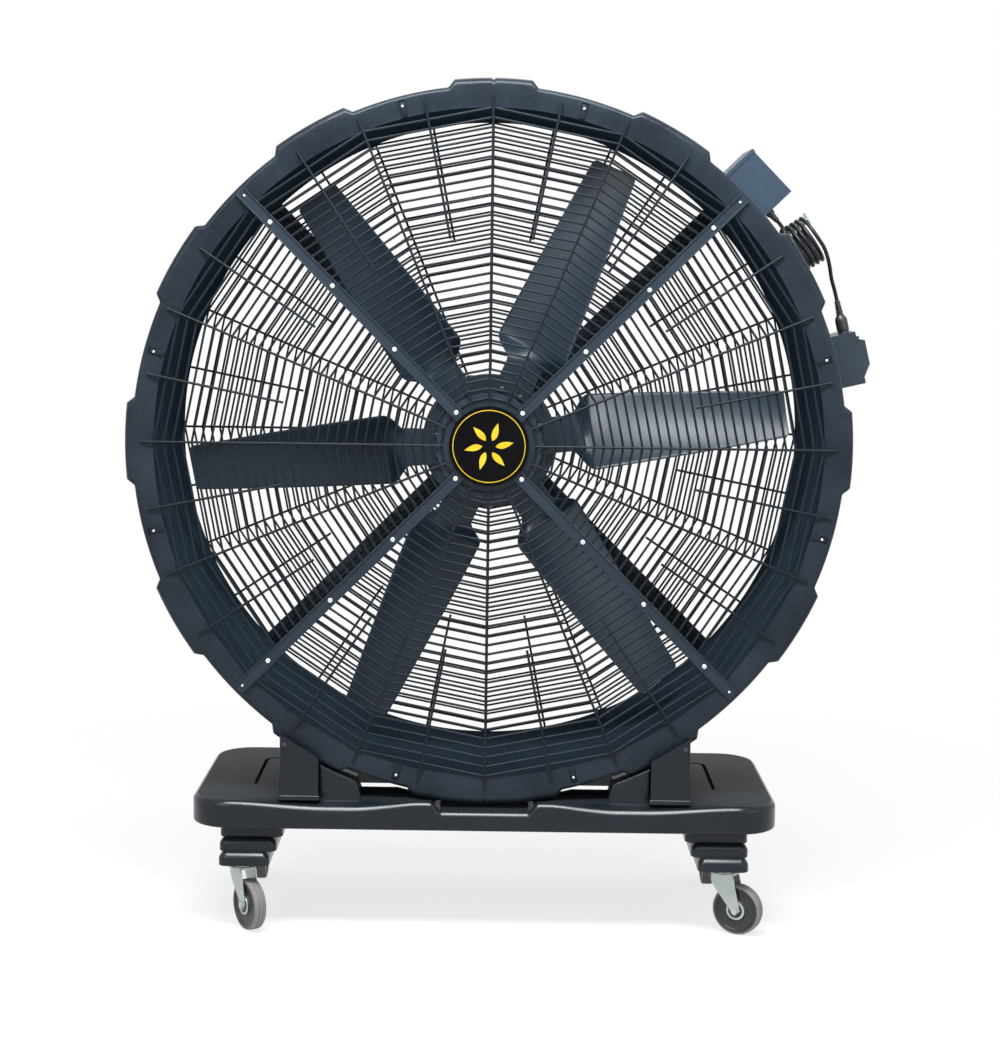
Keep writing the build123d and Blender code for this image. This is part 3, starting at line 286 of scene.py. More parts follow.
def finish(
    name, dark, light, rough, grain, bump, cloud, dusting,
    metal=0.0, spread=0.12, sheen=0.5, wave=0.0, flat_top=0.0,
):
    """A material whose colour drifts between two shades, with a fine grain, dust and an uneven gloss."""
    material = bpy.data.materials.new(name)
    material.use_nodes = True
    tree = material.node_tree
    shader = tree.nodes["Principled BSDF"].inputs
    shader["Metallic"].default_value = metal
    shader["Specular IOR Level"].default_value = sheen
    place = tree.nodes.new("ShaderNodeTexCoord").outputs["Object"]
    normal = tree.nodes.new("ShaderNodeNewGeometry").outputs["Normal"]
    surface = add_node(
        tree, "ShaderNodeGroup", {"node_tree": skin}, Vector=place, Grain_Scale=grain, Cloud_Scale=cloud
    ).outputs
    settled = add_node(
        tree, "ShaderNodeGroup", {"node_tree": dust}, Vector=place, Normal=normal, Amount=dusting
    ).outputs["Mask"]
    shades = add_mix(tree, surface["Shade"], srgb(dark), srgb(light))
    tree.links.new(add_mix(tree, settled, shades, DUST_COLOUR), shader["Base Color"])
    gloss = add_math(tree, "MULTIPLY_ADD", surface["Shade"], spread, rough - spread / 2)
    duller = add_math(tree, "MULTIPLY_ADD", settled, 0.4, gloss)
    if flat_top:
        above = add_math(tree, "SUBTRACT", upward_share(tree, normal), 0.93)
        level = add_math(tree, "MULTIPLY", above, 16.0, clamp=True)
        duller = add_math(tree, "MULTIPLY_ADD", level, flat_top, duller)
    tree.links.new(duller, shader["Roughness"])
    relief = add_node(tree, "ShaderNodeBump", Strength=bump, Distance=0.001, Height=surface["Height"])
    if wave:
        swell = add_noise(tree, place, 9.0, 2.0)
        rolling = add_node(tree, "ShaderNodeBump", Strength=wave, Distance=0.02, Height=swell)
        tree.links.new(rolling.outputs["Normal"], relief.inputs["Normal"])
    tree.links.new(relief.outputs["Normal"], shader["Normal"])
    return material


drum_skin = finish("drum_skin", "12171d", "232b34", 0.3, 700, 0.08, 5.5, 0.02, sheen=0.16, wave=0.3)
# The bore and the grooves on the deck's wings are the same plastic, but take a matte copy without reflection,
# in a tone set to how they look in their shade: painted shade.
bore_painted_shade = finish("bore_painted_shade", "1c2731", "29353f", 0.6, 700, 0.2, 2.6, 0.02, sheen=0.0)
base_skin = finish(
    "base_skin", "0e1419", "151b22", 0.22, 700, 0.04, 2.6, 0.01, spread=0.06, sheen=0.28, flat_top=0.4
)
wire_coat = finish("wire_coat", "11171c", "191f26", 0.36, 1600, 0.08, 9, 0.01, sheen=0.16)
arm_coat = finish("arm_coat", "18212b", "232d38", 0.34, 1500, 0.1, 5, 0.03, sheen=0.26)
blade_skin = finish("blade_skin", "18242e", "22303c", 0.32, 900, 0.06, 4, 0.04, spread=0.1, sheen=0.34)
motor_paint = finish("motor_paint", "15191f", "1f242b", 0.42, 1200, 0.15, 6, 0.06, sheen=0.3)
hub_paint = finish("hub_paint", "1b232c", "262f39", 0.36, 1300, 0.1, 6, 0.05, sheen=0.35)
box_coat = finish("box_coat", "1c2b3a", "263646", 0.42, 1300, 0.14, 4, 0.05, sheen=0.36)
switch_skin = finish("switch_skin", "1c2831", "28343e", 0.4, 900, 0.16, 5, 0.06, sheen=0.36)
dark_screw = finish("dark_screw", "22272d", "30363d", 0.34, 900, 0.04, 40, 0.02, metal=0.2)
black_plastic = finish("black_plastic", "1a1c1e", "232628", 0.4, 1400, 0.12, 12, 0.1)
cable_jacket = finish("cable_jacket", "0e1113", "171a1e", 0.4, 1500, 0.08, 18, 0.02, sheen=0.25)
zinc = finish("zinc", "9aa29f", "b3bab6", 0.34, 500, 0.06, 24, 0.1, metal=0.55, spread=0.16)
bolt_zinc = finish("bolt_zinc", "cfd1d2", "e4e5e5", 0.26, 900, 0.04, 40, 0.02, metal=0.7)
wheel_core = finish("wheel_core", "141517", "1e2022", 0.42, 1100, 0.12, 16, 0.14)
tread_rubber = finish("tread_rubber", "63615e", "75726f", 0.7, 800, 0.3, 22, 0.2)
badge_black = finish("badge_black", "070708", "0c0c0d", 0.3, 600, 0.01, 8, 0.0, sheen=0.04)
badge_gold = finish("badge_gold", "b99a12", "d3b526", 0.3, 900, 0.04, 30, 0.0, metal=0.25)
print("finishes:", len(bpy.data.materials))

# %% [markdown]
# The next helpers turn lists of points into meshes.
# A mesh is merged, its faces are pointed outwards, and its shading is smooth except across real edges.

# %% mesh helpers
MERGE, FINE_MERGE = 0.00002, 0.00001


def tidy(mesh, angle=40, merge=MERGE):
    """Merge doubles, point the faces outwards and keep only real edges sharp."""
    work = bmesh.new()
    work.from_mesh(mesh)
    bmesh.ops.remove_doubles(work, verts=work.verts, dist=merge)
    bmesh.ops.dissolve_degenerate(work, edges=work.edges, dist=merge / 2)
    bmesh.ops.recalc_face_normals(work, faces=work.faces)
    return shaded(flushed(work, mesh), angle)


def flushed(work, mesh):
    """Write a mesh in the making into a mesh."""
    work.to_mesh(mesh)
    work.free()
    return mesh


def shaded(mesh, angle):
    """Shade a mesh smooth except across edges sharper than an angle."""
    mesh.shade_smooth()
    mesh.set_sharp_from_angle(angle=radians(angle))
    return mesh


def join_meshes(name, meshes):
    """Several meshes as one, in the first one's material."""
    work = bmesh.new()
    for mesh in meshes:
        work.from_mesh(mesh)
    made = flushed(work, bpy.data.meshes.new(name))
    for material in [material for material in meshes[0].materials if material][:1]:
        made.materials.append(material)
    for face in made.polygons:
        face.material_index = 0
    return made


def settled_mesh(host):
    """An object's mesh as its modifiers leave it; the object is dropped."""
    ready = host.evaluated_get(bpy.context.evaluated_depsgraph_get())
    mesh = bpy.data.meshes.new_from_object(ready)
    bpy.data.objects.remove(host)
    return mesh


def piece(name, mesh, material, body, slot, *replaced):
    """Put a finished mesh into the scene as a piece of the fan."""
    if not mesh.materials:
        mesh.materials.append(material)
    made = put(name, mesh)
    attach(made, body)
    if replaced:
        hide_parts(*replaced)
    return made


def grid_mesh(name, rows, close_rows=True, close_columns=False, cap=False):
    """A mesh through rows of points; each row closes on itself, or the rows close on the first one."""
    count, width = len(rows), len(rows[0])
    faces = []
    for i in range(count if close_columns else count - 1):
        here, there = i * width, (i + 1) % count * width
        for j in range(width if close_rows else width - 1):
            k = (j + 1) % width
            faces.append((here + j, here + k, there + k, there + j))
    if cap:
        faces.append(tuple(range(width))[::-1])
        faces.append(tuple((count - 1) * width + j for j in range(width)))
    mesh = bpy.data.meshes.new(name)
    mesh.from_pydata([tuple(point) for row in rows for point in row], [], faces)
    return mesh


def lathe(name, profile, origin, axis, segments):
    """A closed profile of (distance along, radius) in millimetres, turned about an axis in the room."""
    axis = Vector(axis).normalized()
    side = axis.orthogonal().normalized()
    other = axis.cross(side)
    rows = []
    for i in range(segments):
        angle = 2 * pi * i / segments
        out = side * cos(angle) + other * sin(angle)
        rows.append([Vector(origin) + axis * (a * MM) + out * (r * MM) for a, r in profile])
    return tidy(grid_mesh(name, rows, close_columns=True), 35)


def rounded(corner, before, after, radius, steps):
    """Points that round one corner of a profile."""
    corner, before, after = (Vector(p) for p in (corner, before, after))
    a = (before - corner).normalized()
    b = (after - corner).normalized()
    half = a.angle(b) / 2
    reach = radius / tan(half)
    start, end = corner + a * reach, corner + b * reach
    centre = corner + (a + b).normalized() * (radius / sin(half))
    ways = [(start - centre).slerp(end - centre, i / steps).normalized() for i in range(steps + 1)]
    return [tuple(centre + way * radius) for way in ways]


def soft_box(low, high, ease, angle=0.0):
    """A box between two corners in millimetres, with eased edges, turned about the upright axis."""
    work = bmesh.new()
    bmesh.ops.create_cube(work, size=1.0)
    middle = Matrix.Translation([(a + b) / 2 * MM for a, b in zip(low, high)])
    sizes = Matrix.Diagonal([(b - a) * MM for a, b in zip(low, high)] + [1])
    place = Matrix.Rotation(radians(angle), 4, "Z") @ middle @ sizes
    bmesh.ops.transform(work, matrix=place, verts=work.verts)
    bmesh.ops.bevel(work, geom=list(work.edges), offset=ease * MM, segments=2, affect="EDGES", profile=0.5)
    return tidy(flushed(work, bpy.data.meshes.new("box")))


print("helpers ready")

# %% [markdown]
# The drum is two half shells of rotationally moulded plastic.
# Its wall is one section carried round the axis, but the outside swells into twelve raised pads with
# slanted ends, the edges are generously rounded, and a shallow groove marks where the halves meet.
# A grid of points does this best: one row for each angle, with the outer radius worked out from the angle.

# %% drum shells
BORE, LEDGE, BARREL, PAD = 818.0, 836.0, 872.0, 890.0
HALF, SEAT = 260.0, 255.0
PAD_ENDS = (5.9, 6.1, 6.3, 6.55, 6.8, 7.0, 7.15, 7.3)
PAD_HALF_WIDTH = PAD * tan(radians(6.0))
BOTTOM_EXTRA = 5.5
SEAMS, SEAM_REACH = (90, 270), degrees(4 / PAD)
TAB_TURN, TAB_FACE = 15, 259.6
TAB_ANGLES = [middle + side * TAB_TURN for middle in (0, 90, 180, 270) for side in (-1, 1)]
POCKET_REACH = degrees(8.4 / 848)
BORE_GROOVES = (-205, -120, -35, 50, 135, 205)
LAY_DOWN = STAND_UP.inverted()


def near(angle, targets, reach):
    """Whether an angle is within reach of any of the targets."""
    return any(abs((angle - target + 180) % 360 - 180) < reach for target in targets)


def pad_share(angle):
    """How far the barrel has risen to a pad at an angle: 0 on the barrel and 1 on a pad."""
    along = abs(radians((angle + 15) % 30 - 15)) * PAD
    half = PAD_HALF_WIDTH + (PAD * radians(BOTTOM_EXTRA) if near(angle, (270,), 15) else 0)
    share = min(max((half + (PAD - BARREL) - along) / (PAD - BARREL), 0.0), 1.0)
    return share - 0.16 * sin(2 * pi * share) / (2 * pi)


def drum_row(angle):
    """The drum's section at one angle, as points round the wall."""
    outer = BARREL + (PAD - BARREL) * pad_share(angle)
    if near(angle, SEAMS, SEAM_REACH):
        outer -= 3
    rim = SEAT if near(angle, TAB_ANGLES, POCKET_REACH) else HALF
    curve = 11.5 + 6.0 * pad_share(angle)
    front = [(BORE, SEAT), (LEDGE - 11, SEAT), (LEDGE + 6, rim), (859.0, rim), (859.2, HALF)]
    front += rounded((outer, HALF), (LEDGE, HALF), (outer, 0), curve, 6)
    section = front + [(outer, 80.0), (outer, 0.0), (outer, -80.0)]
    section += [(r, -z) for r, z in reversed(front)]
    for z in BORE_GROOVES:
        section += [(BORE, z - 5.0), (BORE + 1.8, z - 3.0), (BORE + 1.8, z + 3.0), (BORE, z + 5.0)]
    return [fan_point(*turned(r, 0, z, angle)) for r, z in section]


def drum_angles(start, end):
    """Angles across one half, closer together at the pads' ends, the pockets and the seam."""
    marks = {round(start + (end - start) * i / 120, 4) for i in range(121)}
    for centre in range(0, 360, 30):
        for off in PAD_ENDS:
            off += BOTTOM_EXTRA if centre == 270 else 0
            marks.update((centre + off, centre - off))
    for targets, reach, gap in ((TAB_ANGLES, POCKET_REACH, 0.005), (SEAMS, SEAM_REACH, 0.02)):
        for target in targets:
            for off in (reach - gap, reach + gap):
                marks.update((target + off, target - off))
    marks = {mark + whole for mark in marks for whole in (-360, 0, 360)}
    return sorted({round(mark, 4) for mark in marks if start - 0.0001 <= mark <= end + 0.0001})


for side, start in (("left", 90), ("right", -90)):
    rows = [drum_row(angle) for angle in drum_angles(start, start + 180)]
    shell = tidy(grid_mesh("drum_shell_" + side, rows, cap=True), 32)
    shell.materials.append(drum_skin)
    # The faces inside the bore take the matte copy of the plastic, toned for the shade inside the drum:
    # painted shade.
    shell.materials.append(bore_painted_shade)
    for face in shell.polygons:
        lying = LAY_DOWN @ face.center
        face.material_index = int(lying.xy.length < (BORE + 2) * MM and abs(lying.z) < SEAT * MM)
    piece("drum_shell_" + side, shell, drum_skin, "base", "drum", "drum_half_" + side)
    print("drum shell", side, len(shell.polygons), "faces")

# %% [markdown]
# Each grille is four quadrant panels of welded wire.
# A ring is not a circle but a sixteen-sided polygon bent at the spokes, which gives the grille its faceted
# look.
# Its shape follows a rule, so Geometry Nodes make it: one quarter polygon is instanced at every radius, its
# ends are trimmed back from the arms, and wires are swept along everything.

# %% grille tree
net, net_in, net_out = node_group("GeometryNodeTree", "quadrant_net", [
    ("Geometry", SHAPE), ("First Radius", FLOAT), ("Ring Pitch", FLOAT), ("Ring Count", WHOLE),
    ("Ring Height", FLOAT), ("Spoke Height", FLOAT), ("Ring Wire", FLOAT), ("Spoke Wire", FLOAT),
    ("Spoke End", FLOAT), ("Short Start", FLOAT), ("Inset", FLOAT), ("Turn", FLOAT), ("Wire", STUFF),
], [("Geometry", SHAPE)])


def wire_section(radius):
    """The round section of a wire."""
    return add_node(net, "GeometryNodeCurvePrimitiveCircle", Resolution=8, Radius=radius).outputs["Curve"]


def swept(curve, section):
    """A wire along a curve."""
    values = {"Curve": curve, "Profile Curve": section, "Fill Caps": True}
    return add_node(net, "GeometryNodeCurveToMesh", at=values).outputs[0]


def instanced(tree, points, thing, **values):
    """A thing at every point, made real."""
    spread = add_node(tree, "GeometryNodeInstanceOnPoints", Points=points, Instance=thing, **values)
    return add_node(tree, "GeometryNodeRealizeInstances", Geometry=spread.outputs[0]).outputs[0]


def ring_at(number):
    """The radius of the ring with a number."""
    return add_math(net, "MULTIPLY_ADD", number, net_in["Ring Pitch"], net_in["First Radius"])


arc = add_node(net, "GeometryNodeCurveArc", Resolution=5, Radius=1.0, Start_Angle=-pi / 4, Sweep_Angle=pi / 2)
line = add_node(net, "GeometryNodeMeshLine", Count=net_in["Ring Count"]).outputs["Mesh"]
ring_radius = ring_at(net.nodes.new("GeometryNodeInputIndex").outputs[0])
lift = add_xyz(net, z=net_in["Ring Height"])
stacked = add_node(net, "GeometryNodeSetPosition", Geometry=line, Position=lift).outputs[0]
rings = instanced(net, stacked, arc.outputs["Curve"], Scale=add_xyz(net, ring_radius, ring_radius, 1.0))
length = add_node(net, "GeometryNodeSplineLength").outputs["Length"]
trim = add_math(net, "DIVIDE", net_in["Inset"], cos(radians(11.25)))
cut = add_node(net, "GeometryNodeTrimCurve", {"mode": "LENGTH"}, Curve=rings)
trim_sockets = [socket for socket in cut.inputs if socket.type == "VALUE" and socket.enabled]
for socket, value in zip(trim_sockets, (trim, add_math(net, "SUBTRACT", length, trim))):
    net.links.new(value, socket)
ring_section = wire_section(net_in["Ring Wire"])
ring_wires = swept(cut.outputs[0], ring_section)
print("ring sockets", [socket.name for socket in trim_sockets])

# %% grille spokes and edge bars


def wire_run(start, end, side, height, count, first, step, section):
    """Wires from one radius to another, repeated at even angles."""
    low, high = add_xyz(net, start, side, height), add_xyz(net, end, side, height)
    line = add_node(net, "GeometryNodeCurvePrimitiveLine", Start=low, End=high).outputs[0]
    points = add_node(net, "GeometryNodeMeshLine", Count=count, Offset=(0, 0, 0)).outputs[0]
    number = net.nodes.new("GeometryNodeInputIndex").outputs[0]
    spin = add_xyz(net, z=add_math(net, "MULTIPLY_ADD", number, step, first))
    return swept(instanced(net, points, line, Rotation=spin), section)


spoke_section = wire_section(net_in["Spoke Wire"])
spoke_end, spoke_height, ring_height = (net_in[name] for name in ("Spoke End", "Spoke Height", "Ring Height"))
inner_end = add_math(net, "SUBTRACT", net_in["First Radius"], 0.004)
last_radius = ring_at(add_math(net, "SUBTRACT", net_in["Ring Count"], 1.0))
minus = add_math(net, "MULTIPLY", net_in["Inset"], -1.0)
step, corner = radians(22.5), pi / 4
joined = net.nodes.new("GeometryNodeJoinGeometry")
for part in (
    ring_wires,
    wire_run(inner_end, spoke_end, 0.0, spoke_height, 3, step - corner, step, spoke_section),
    wire_run(net_in["Short Start"], spoke_end, 0.0, spoke_height, 4, step / 2 - corner, step, spoke_section),
    wire_run(inner_end, last_radius, net_in["Inset"], ring_height, 1, -corner, 0.0, ring_section),
    wire_run(inner_end, last_radius, minus, ring_height, 1, corner, 0.0, ring_section),
    net_in["Geometry"],
):
    net.links.new(part, joined.inputs[0])
spin = add_xyz(net, z=net_in["Turn"])
placed = add_node(net, "GeometryNodeTransform", Geometry=joined.outputs[0], Rotation=spin).outputs[0]
real = add_node(net, "GeometryNodeRealizeInstances", Geometry=placed).outputs[0]
coated = add_node(net, "GeometryNodeSetMaterial", Geometry=real, Material=net_in["Wire"]).outputs[0]
net.links.new(coated, net_out[0])
print("grille tree with", len(net.nodes), "nodes")

# %% [markdown]
# Two flat tabs on each panel lie in pockets of the drum's rim and take the fixing screws.
# They are the seed mesh that the tree is run on, so that a panel comes out as one welded piece.

# %% grille panels


def grow(tree, seed, settings):
    """Run a tree on a seed mesh and stand its result up as a plain mesh."""
    host = put("host", seed)
    modifier = host.modifiers.new("grow", "NODES")
    modifier.node_group = tree
    for item in tree.interface.items_tree:
        if item.in_out == "INPUT" and item.name in settings:
            modifier[item.identifier] = settings[item.name]
    mesh = settled_mesh(host)
    mesh.transform(STAND_UP)
    return mesh


def tab_seed(side):
    """The two fixing tabs of one panel, on the front or the rear."""
    low, high = sorted((side * SEAT, side * TAB_FACE))
    tabs = [soft_box((821, -7, low), (856, 7, high), 1.2, angle) for angle in (-TAB_TURN, TAB_TURN)]
    return join_meshes("tabs", tabs)


QUADRANTS = {"right": 0, "top": 90, "left": 180, "bottom": 270}
for face, side, count, first, wire in (("front", 1, 31, 117.5, 0.003), ("rear", -1, 29, 164.2, 0.0028)):
    for quadrant, angle in QUADRANTS.items():
        mesh = grow(net, tab_seed(side), {
            "First Radius": first * MM, "Ring Pitch": (BORE - first) / (count - 1) * MM, "Ring Count": count,
            "Ring Height": side * 0.258, "Spoke Height": side * 0.2633, "Ring Wire": wire,
            "Spoke Wire": 0.0031, "Spoke End": 0.848, "Short Start": 0.511, "Inset": 0.0057,
            "Turn": radians(angle), "Wire": wire_coat,
        })
        tidy(mesh, 50, 0.000005)
        piece(f"{face}_net_{quadrant}", mesh, wire_coat, "base", "wire", f"{face}_grille_{quadrant}")
    print(face, "panels of", len(mesh.polygons), "faces each")

# %% [markdown]
# Screws, bolts and motor fins all repeat round the axis, so one small tree serves them all.
# Its seed is a single head, and the tree copies it in rows and turns with named inputs for the counts.

# %% turned rows tree
turns, turns_in, turns_out = node_group("GeometryNodeTree", "turned_rows", [
    ("Geometry", SHAPE), ("Count", WHOLE), ("First Angle", FLOAT), ("Rows", WHOLE), ("Row Start", FLOAT),
    ("Row Step", FLOAT), ("Height", FLOAT), ("Finish", STUFF),
], [("Geometry", SHAPE)])
copy_count = turns_in["Count"]
total = add_math(turns, "MULTIPLY", copy_count, turns_in["Rows"])
line = add_node(turns, "GeometryNodeMeshLine", Count=total, Offset=(0, 0, 0)).outputs[0]
index = turns.nodes.new("GeometryNodeInputIndex").outputs[0]
turn_number = add_math(turns, "MODULO", index, copy_count)
row_number = add_math(turns, "FLOOR", add_math(turns, "DIVIDE", index, copy_count))
angle_step = add_math(turns, "DIVIDE", 2 * pi, copy_count)
angle = add_math(turns, "MULTIPLY_ADD", turn_number, angle_step, turns_in["First Angle"])
radius = add_math(turns, "MULTIPLY_ADD", row_number, turns_in["Row Step"], turns_in["Row Start"])
x_place = add_math(turns, "MULTIPLY", radius, add_math(turns, "COSINE", angle))
y_place = add_math(turns, "MULTIPLY", radius, add_math(turns, "SINE", angle))
place = add_xyz(turns, x_place, y_place, turns_in["Height"])
spots = add_node(turns, "GeometryNodeSetPosition", Geometry=line, Position=place).outputs[0]
copies = instanced(turns, spots, turns_in["Geometry"], Rotation=add_xyz(turns, z=angle))
painted = add_node(turns, "GeometryNodeSetMaterial", Geometry=copies, Material=turns_in["Finish"]).outputs[0]
turns.links.new(painted, turns_out[0])
print("rows tree with", len(turns.nodes), "nodes")


def screw_seed(radius, high, side):
    """A pan head with a domed top and a driver's recess, standing on z = 0."""
    profile = [(0, 0), (1, 0), (1, 0.35), (0.93, 0.62), (0.7, 0.88), (0.4, 1), (0.34, 0.6), (0, 0.6)]
    rows = []
    for i in range(12):
        c, s = cos(2 * pi * i / 12), sin(2 * pi * i / 12)
        rows.append([(r * radius * MM * c, r * radius * MM * s, side * z * high * MM) for r, z in profile])
    return tidy(grid_mesh("screw_head", rows, close_rows=False, close_columns=True), merge=FINE_MERGE)


def turned_copies(seed, finish_used, count, first, height, start, step=0.0, rows=1):
    """Copies of a seed round the axis, in rows that start at a radius and step outwards."""
    return grow(turns, seed, {
        "Count": count, "First Angle": radians(first), "Rows": rows, "Row Start": start * MM,
        "Row Step": step * MM, "Height": height * MM, "Finish": finish_used,
    })


def screw_heads(name, radius, high, finish_used, body, runs, *replaced):
    """A piece made of screw heads, from runs of (side of the fan, and what turned_copies takes)."""
    heads = [turned_copies(screw_seed(radius, high, side), finish_used, *run) for side, *run in runs]
    piece(name, tidy(join_meshes(name, heads), merge=FINE_MERGE), finish_used, body, "bolt", *replaced)


ARM_TURN, ARM_FACE, RIM_SCREWS_AT = 45, 263, 846
arm_runs, end_runs = [(1, 4, ARM_TURN, ARM_FACE, 114, 214.5, 4)], [(1, 4, ARM_TURN, ARM_FACE, RIM_SCREWS_AT)]
rim_runs = [
    (side, 4, first, side * TAB_FACE, RIM_SCREWS_AT) for side in (1, -1) for first in (-TAB_TURN, TAB_TURN)
]
screw_heads("arm_screw_heads", 6.4, 4.4, bolt_zinc, "base", arm_runs, "arm_screws")
screw_heads("arm_end_heads", 3.4, 3.4, bolt_zinc, "base", end_runs)
screw_heads("rim_screw_heads", 3.4, 3.4, bolt_zinc, "base", rim_runs, "rim_screws")
print("screw heads:", 20 + 16)

# %% [markdown]
# The blades are moulded in one shape and bolted between the hub and a clamp.
# Each starts as a flat tongue, swells to its widest near the hub and runs out with less chord and less
# pitch to a square tip with rounded corners.
# The same rule that sizes the CAD sections is followed here in small steps, so the twist is smooth.

# %% blades
BLADE_COUNT, BLADE_TURN = 6, 6
HUB_FRONT, TONGUE_FRONT, CLAMP_FACE = 90.0, 99.0, 106
MIDDLE_Z = (HUB_FRONT + TONGUE_FRONT) / 2
TONGUE_END, ROOT, TIP, TIP_CORNER = 205.0, 262.0, 750.0, 12
TONGUE_SHAPE, ROOT_SHAPE, TIP_SHAPE = (92, 0, 9, 0), (220, 34, 9, 0.06), (121, 20, 5, 0.06)


def blade_shape(radius):
    """Chord, pitch, thickness and camber of the blade at a radius."""
    if radius < ROOT:
        share = max((radius - TONGUE_END) / (ROOT - TONGUE_END), 0.0)
        share = share * share * (3 - 2 * share)
        return [a + (b - a) * share for a, b in zip(TONGUE_SHAPE, ROOT_SHAPE)]
    share = (radius - ROOT) / (TIP - ROOT)
    return [a + (b - a) * share for a, b in zip(ROOT_SHAPE, TIP_SHAPE)]


def blade_row(radius, columns=16):
    """The blade's closed section at a radius, in the fan's frame, in metres."""
    chord, lean, thick, camber = blade_shape(radius)
    past = radius - (TIP - TIP_CORNER)
    if past > 0:
        chord -= 2 * (TIP_CORNER - sqrt(max(TIP_CORNER ** 2 - past ** 2, 0.0)))
    half, rise = chord / 2, camber * chord
    points = []
    for side in (1, -1):
        for i in range(columns + 1):
            t = -cos(pi * i / columns) * side
            body = thick * (0.5 - 0.2 * t * t) * min(1.0, sqrt(max(1 - t * t, 0.0)) * 3 + 0.3)
            points.append((half * t, side * body - rise * (1 - t * t)))
    c, s = cos(radians(lean)), sin(radians(lean))
    return [(radius * MM, (a * c + b * s) * MM, (MIDDLE_Z - a * s + b * c) * MM) for a, b in points]


radii = [92, 140, 200, TONGUE_END] + [TONGUE_END + (ROOT - TONGUE_END) * i / 10 for i in range(1, 11)]
radii += [ROOT + (TIP - TIP_CORNER - ROOT) * i / 20 for i in range(1, 21)] + [742, 745, 748, 749.5, TIP]
one_blade = tidy(grid_mesh("blade", [blade_row(radius) for radius in radii], cap=True))
blades = tidy(turned_copies(one_blade, blade_skin, BLADE_COUNT, BLADE_TURN, 0, 0))
piece("rotor_blades", blades, blade_skin, "rotor", "blade", "fan_blades")
bolt_turn, bolts_at = degrees(atan2(25.3, 131)), 133.4
clamp_runs = [(1, BLADE_COUNT, BLADE_TURN + side * bolt_turn, CLAMP_FACE, bolts_at) for side in (-1, 1)]
screw_heads("clamp_bolt_heads", 9, 6, dark_screw, "rotor", clamp_runs, "blade_bolts")
print("blades with", len(blades.polygons), "faces")

# %% [markdown]
# The base is one big moulding, a slab with soft top edges, a well and a cradle for the drum.
# A rounded outline is drawn in rings, each drawn in a little for the soft edge and lifted by a wave for the
# notches and the lips, and the well, the cradle and the grooves on the wings are cut out of it.

# %% deck
DECK_TOP, DECK_BOTTOM = 332.0, 264.0
DECK_HALF_X, DECK_HALF_Y, DECK_CORNER, DECK_EASE = 726, 300, 100, 5
TOP_INSETS = (19, 25, 32, 42, 56, 72, 84, 92, 100, 108, 116, 128, 160, 200, 250, 296)
GROOVE = [(504, 166), (540, 166), (566, 166), (581, 151), (581, 120), (581, 0), (581, -80), (581, -120)]
CORNER_TURNS = ((1, 1, 0), (-1, 1, 90), (-1, -1, 180), (1, -1, 270))


def corner_points(sx, sy, start, half_x, half_y, corner):
    """Points round one corner of a rectangle."""
    turns = [radians(start + 9 * i) for i in range(11)]
    x, y = sx * (half_x - corner), sy * (half_y - corner)
    return [(x + corner * cos(turn), y + corner * sin(turn)) for turn in turns]


def rounded_outline(half_x, half_y, corner, height):
    """Points round a rectangle with rounded corners."""
    points = [place for turn in CORNER_TURNS for place in corner_points(*turn, half_x, half_y, corner)]
    return [(x * MM, y * MM, height * MM) for x, y in points]


def low_edge(ease):
    """A rounded lower edge as (inset, rise)."""
    turns = [radians(90 * (1 - i / 4)) for i in range(5)]
    return [(ease * (1 - cos(turn)), ease * (1 - sin(turn))) for turn in turns]


def lit_edge(high):
    """A moulded top edge as (inset, drop): a curve, a short even slope that catches light, a curve."""
    points, inset, rise = [(0.0, 0.0)], 0.0, 0.0
    for first, last, steps, run in ((0, 34, 4, 0.42), (34, 44, 3, 0.5), (44, 90, 5, 0.47)):
        for i in range(steps):
            lean = radians(first + (last - first) * (i + 0.5) / steps)
            inset += run * sin(lean) / steps
            rise += run * cos(lean) / steps
            points.append((inset, rise))
    return [(high * x / rise, high * (1 - y / rise)) for x, y in points]


def slab(name, half_x, half_y, corner, low, high, ease_top, ease_low):
    """A closed slab with rounded edges at the bottom and a lit edge at the top."""
    rings = [(inset, low + rise) for inset, rise in low_edge(ease_low)]
    rings += [(inset, high - drop) for inset, drop in lit_edge(ease_top)]
    rows = [rounded_outline(half_x - off, half_y - off, corner - off, height) for off, height in rings]
    return tidy(grid_mesh(name, rows, cap=True))


def smooth(value, low, high):
    """0 below the low mark, 1 above the high one, and a soft step between them."""
    share = min(max((value - low) / (high - low), 0.0), 1.0)
    return share * share * (3 - 2 * share)


def top_wave(x, y):
    """How far the deck's top leaves its level: notches, a lip and a dip in front, the well's raised edge."""
    across, along = abs(x), abs(y)
    notch = -21 * (1 - smooth(across, 106, 130)) * smooth(along, 150, 176)
    lip = 3 * smooth(across, 118, 136) * (1 - smooth(across, 150, 240))
    dip = -13 * smooth(across, 165, 330) * (1 - smooth(across, 390, 640))
    well = 11 * smooth(across, 150, 190) * (1 - smooth(along, 190, 216)) * (y < 0) * (across < 404)
    return notch + (lip + dip) * smooth(-y, 262, 296) + well


def deck_ring(inset, height):
    """Points round the deck at an inset and a height, close together along its long sides."""
    half_x, half_y, corner = DECK_HALF_X - inset, DECK_HALF_Y - inset, max(DECK_CORNER - inset, 3)
    points = []
    for sx, sy, start in CORNER_TURNS:
        points += corner_points(sx, sy, start, half_x, half_y, corner)
        x, y = points[-1]
        if sx == sy:
            points += [(x - 2 * (half_x - corner) * sx * i / 160, y) for i in range(1, 160)]
        else:
            points += [(x, y - 2 * (half_y - corner) * sy * i / 12) for i in range(1, 12)]
    follow = smooth(height, DECK_BOTTOM + 6, DECK_BOTTOM + 30)
    return [(x * MM, y * MM, (height + follow * top_wave(x, y)) * MM) for x, y in points]


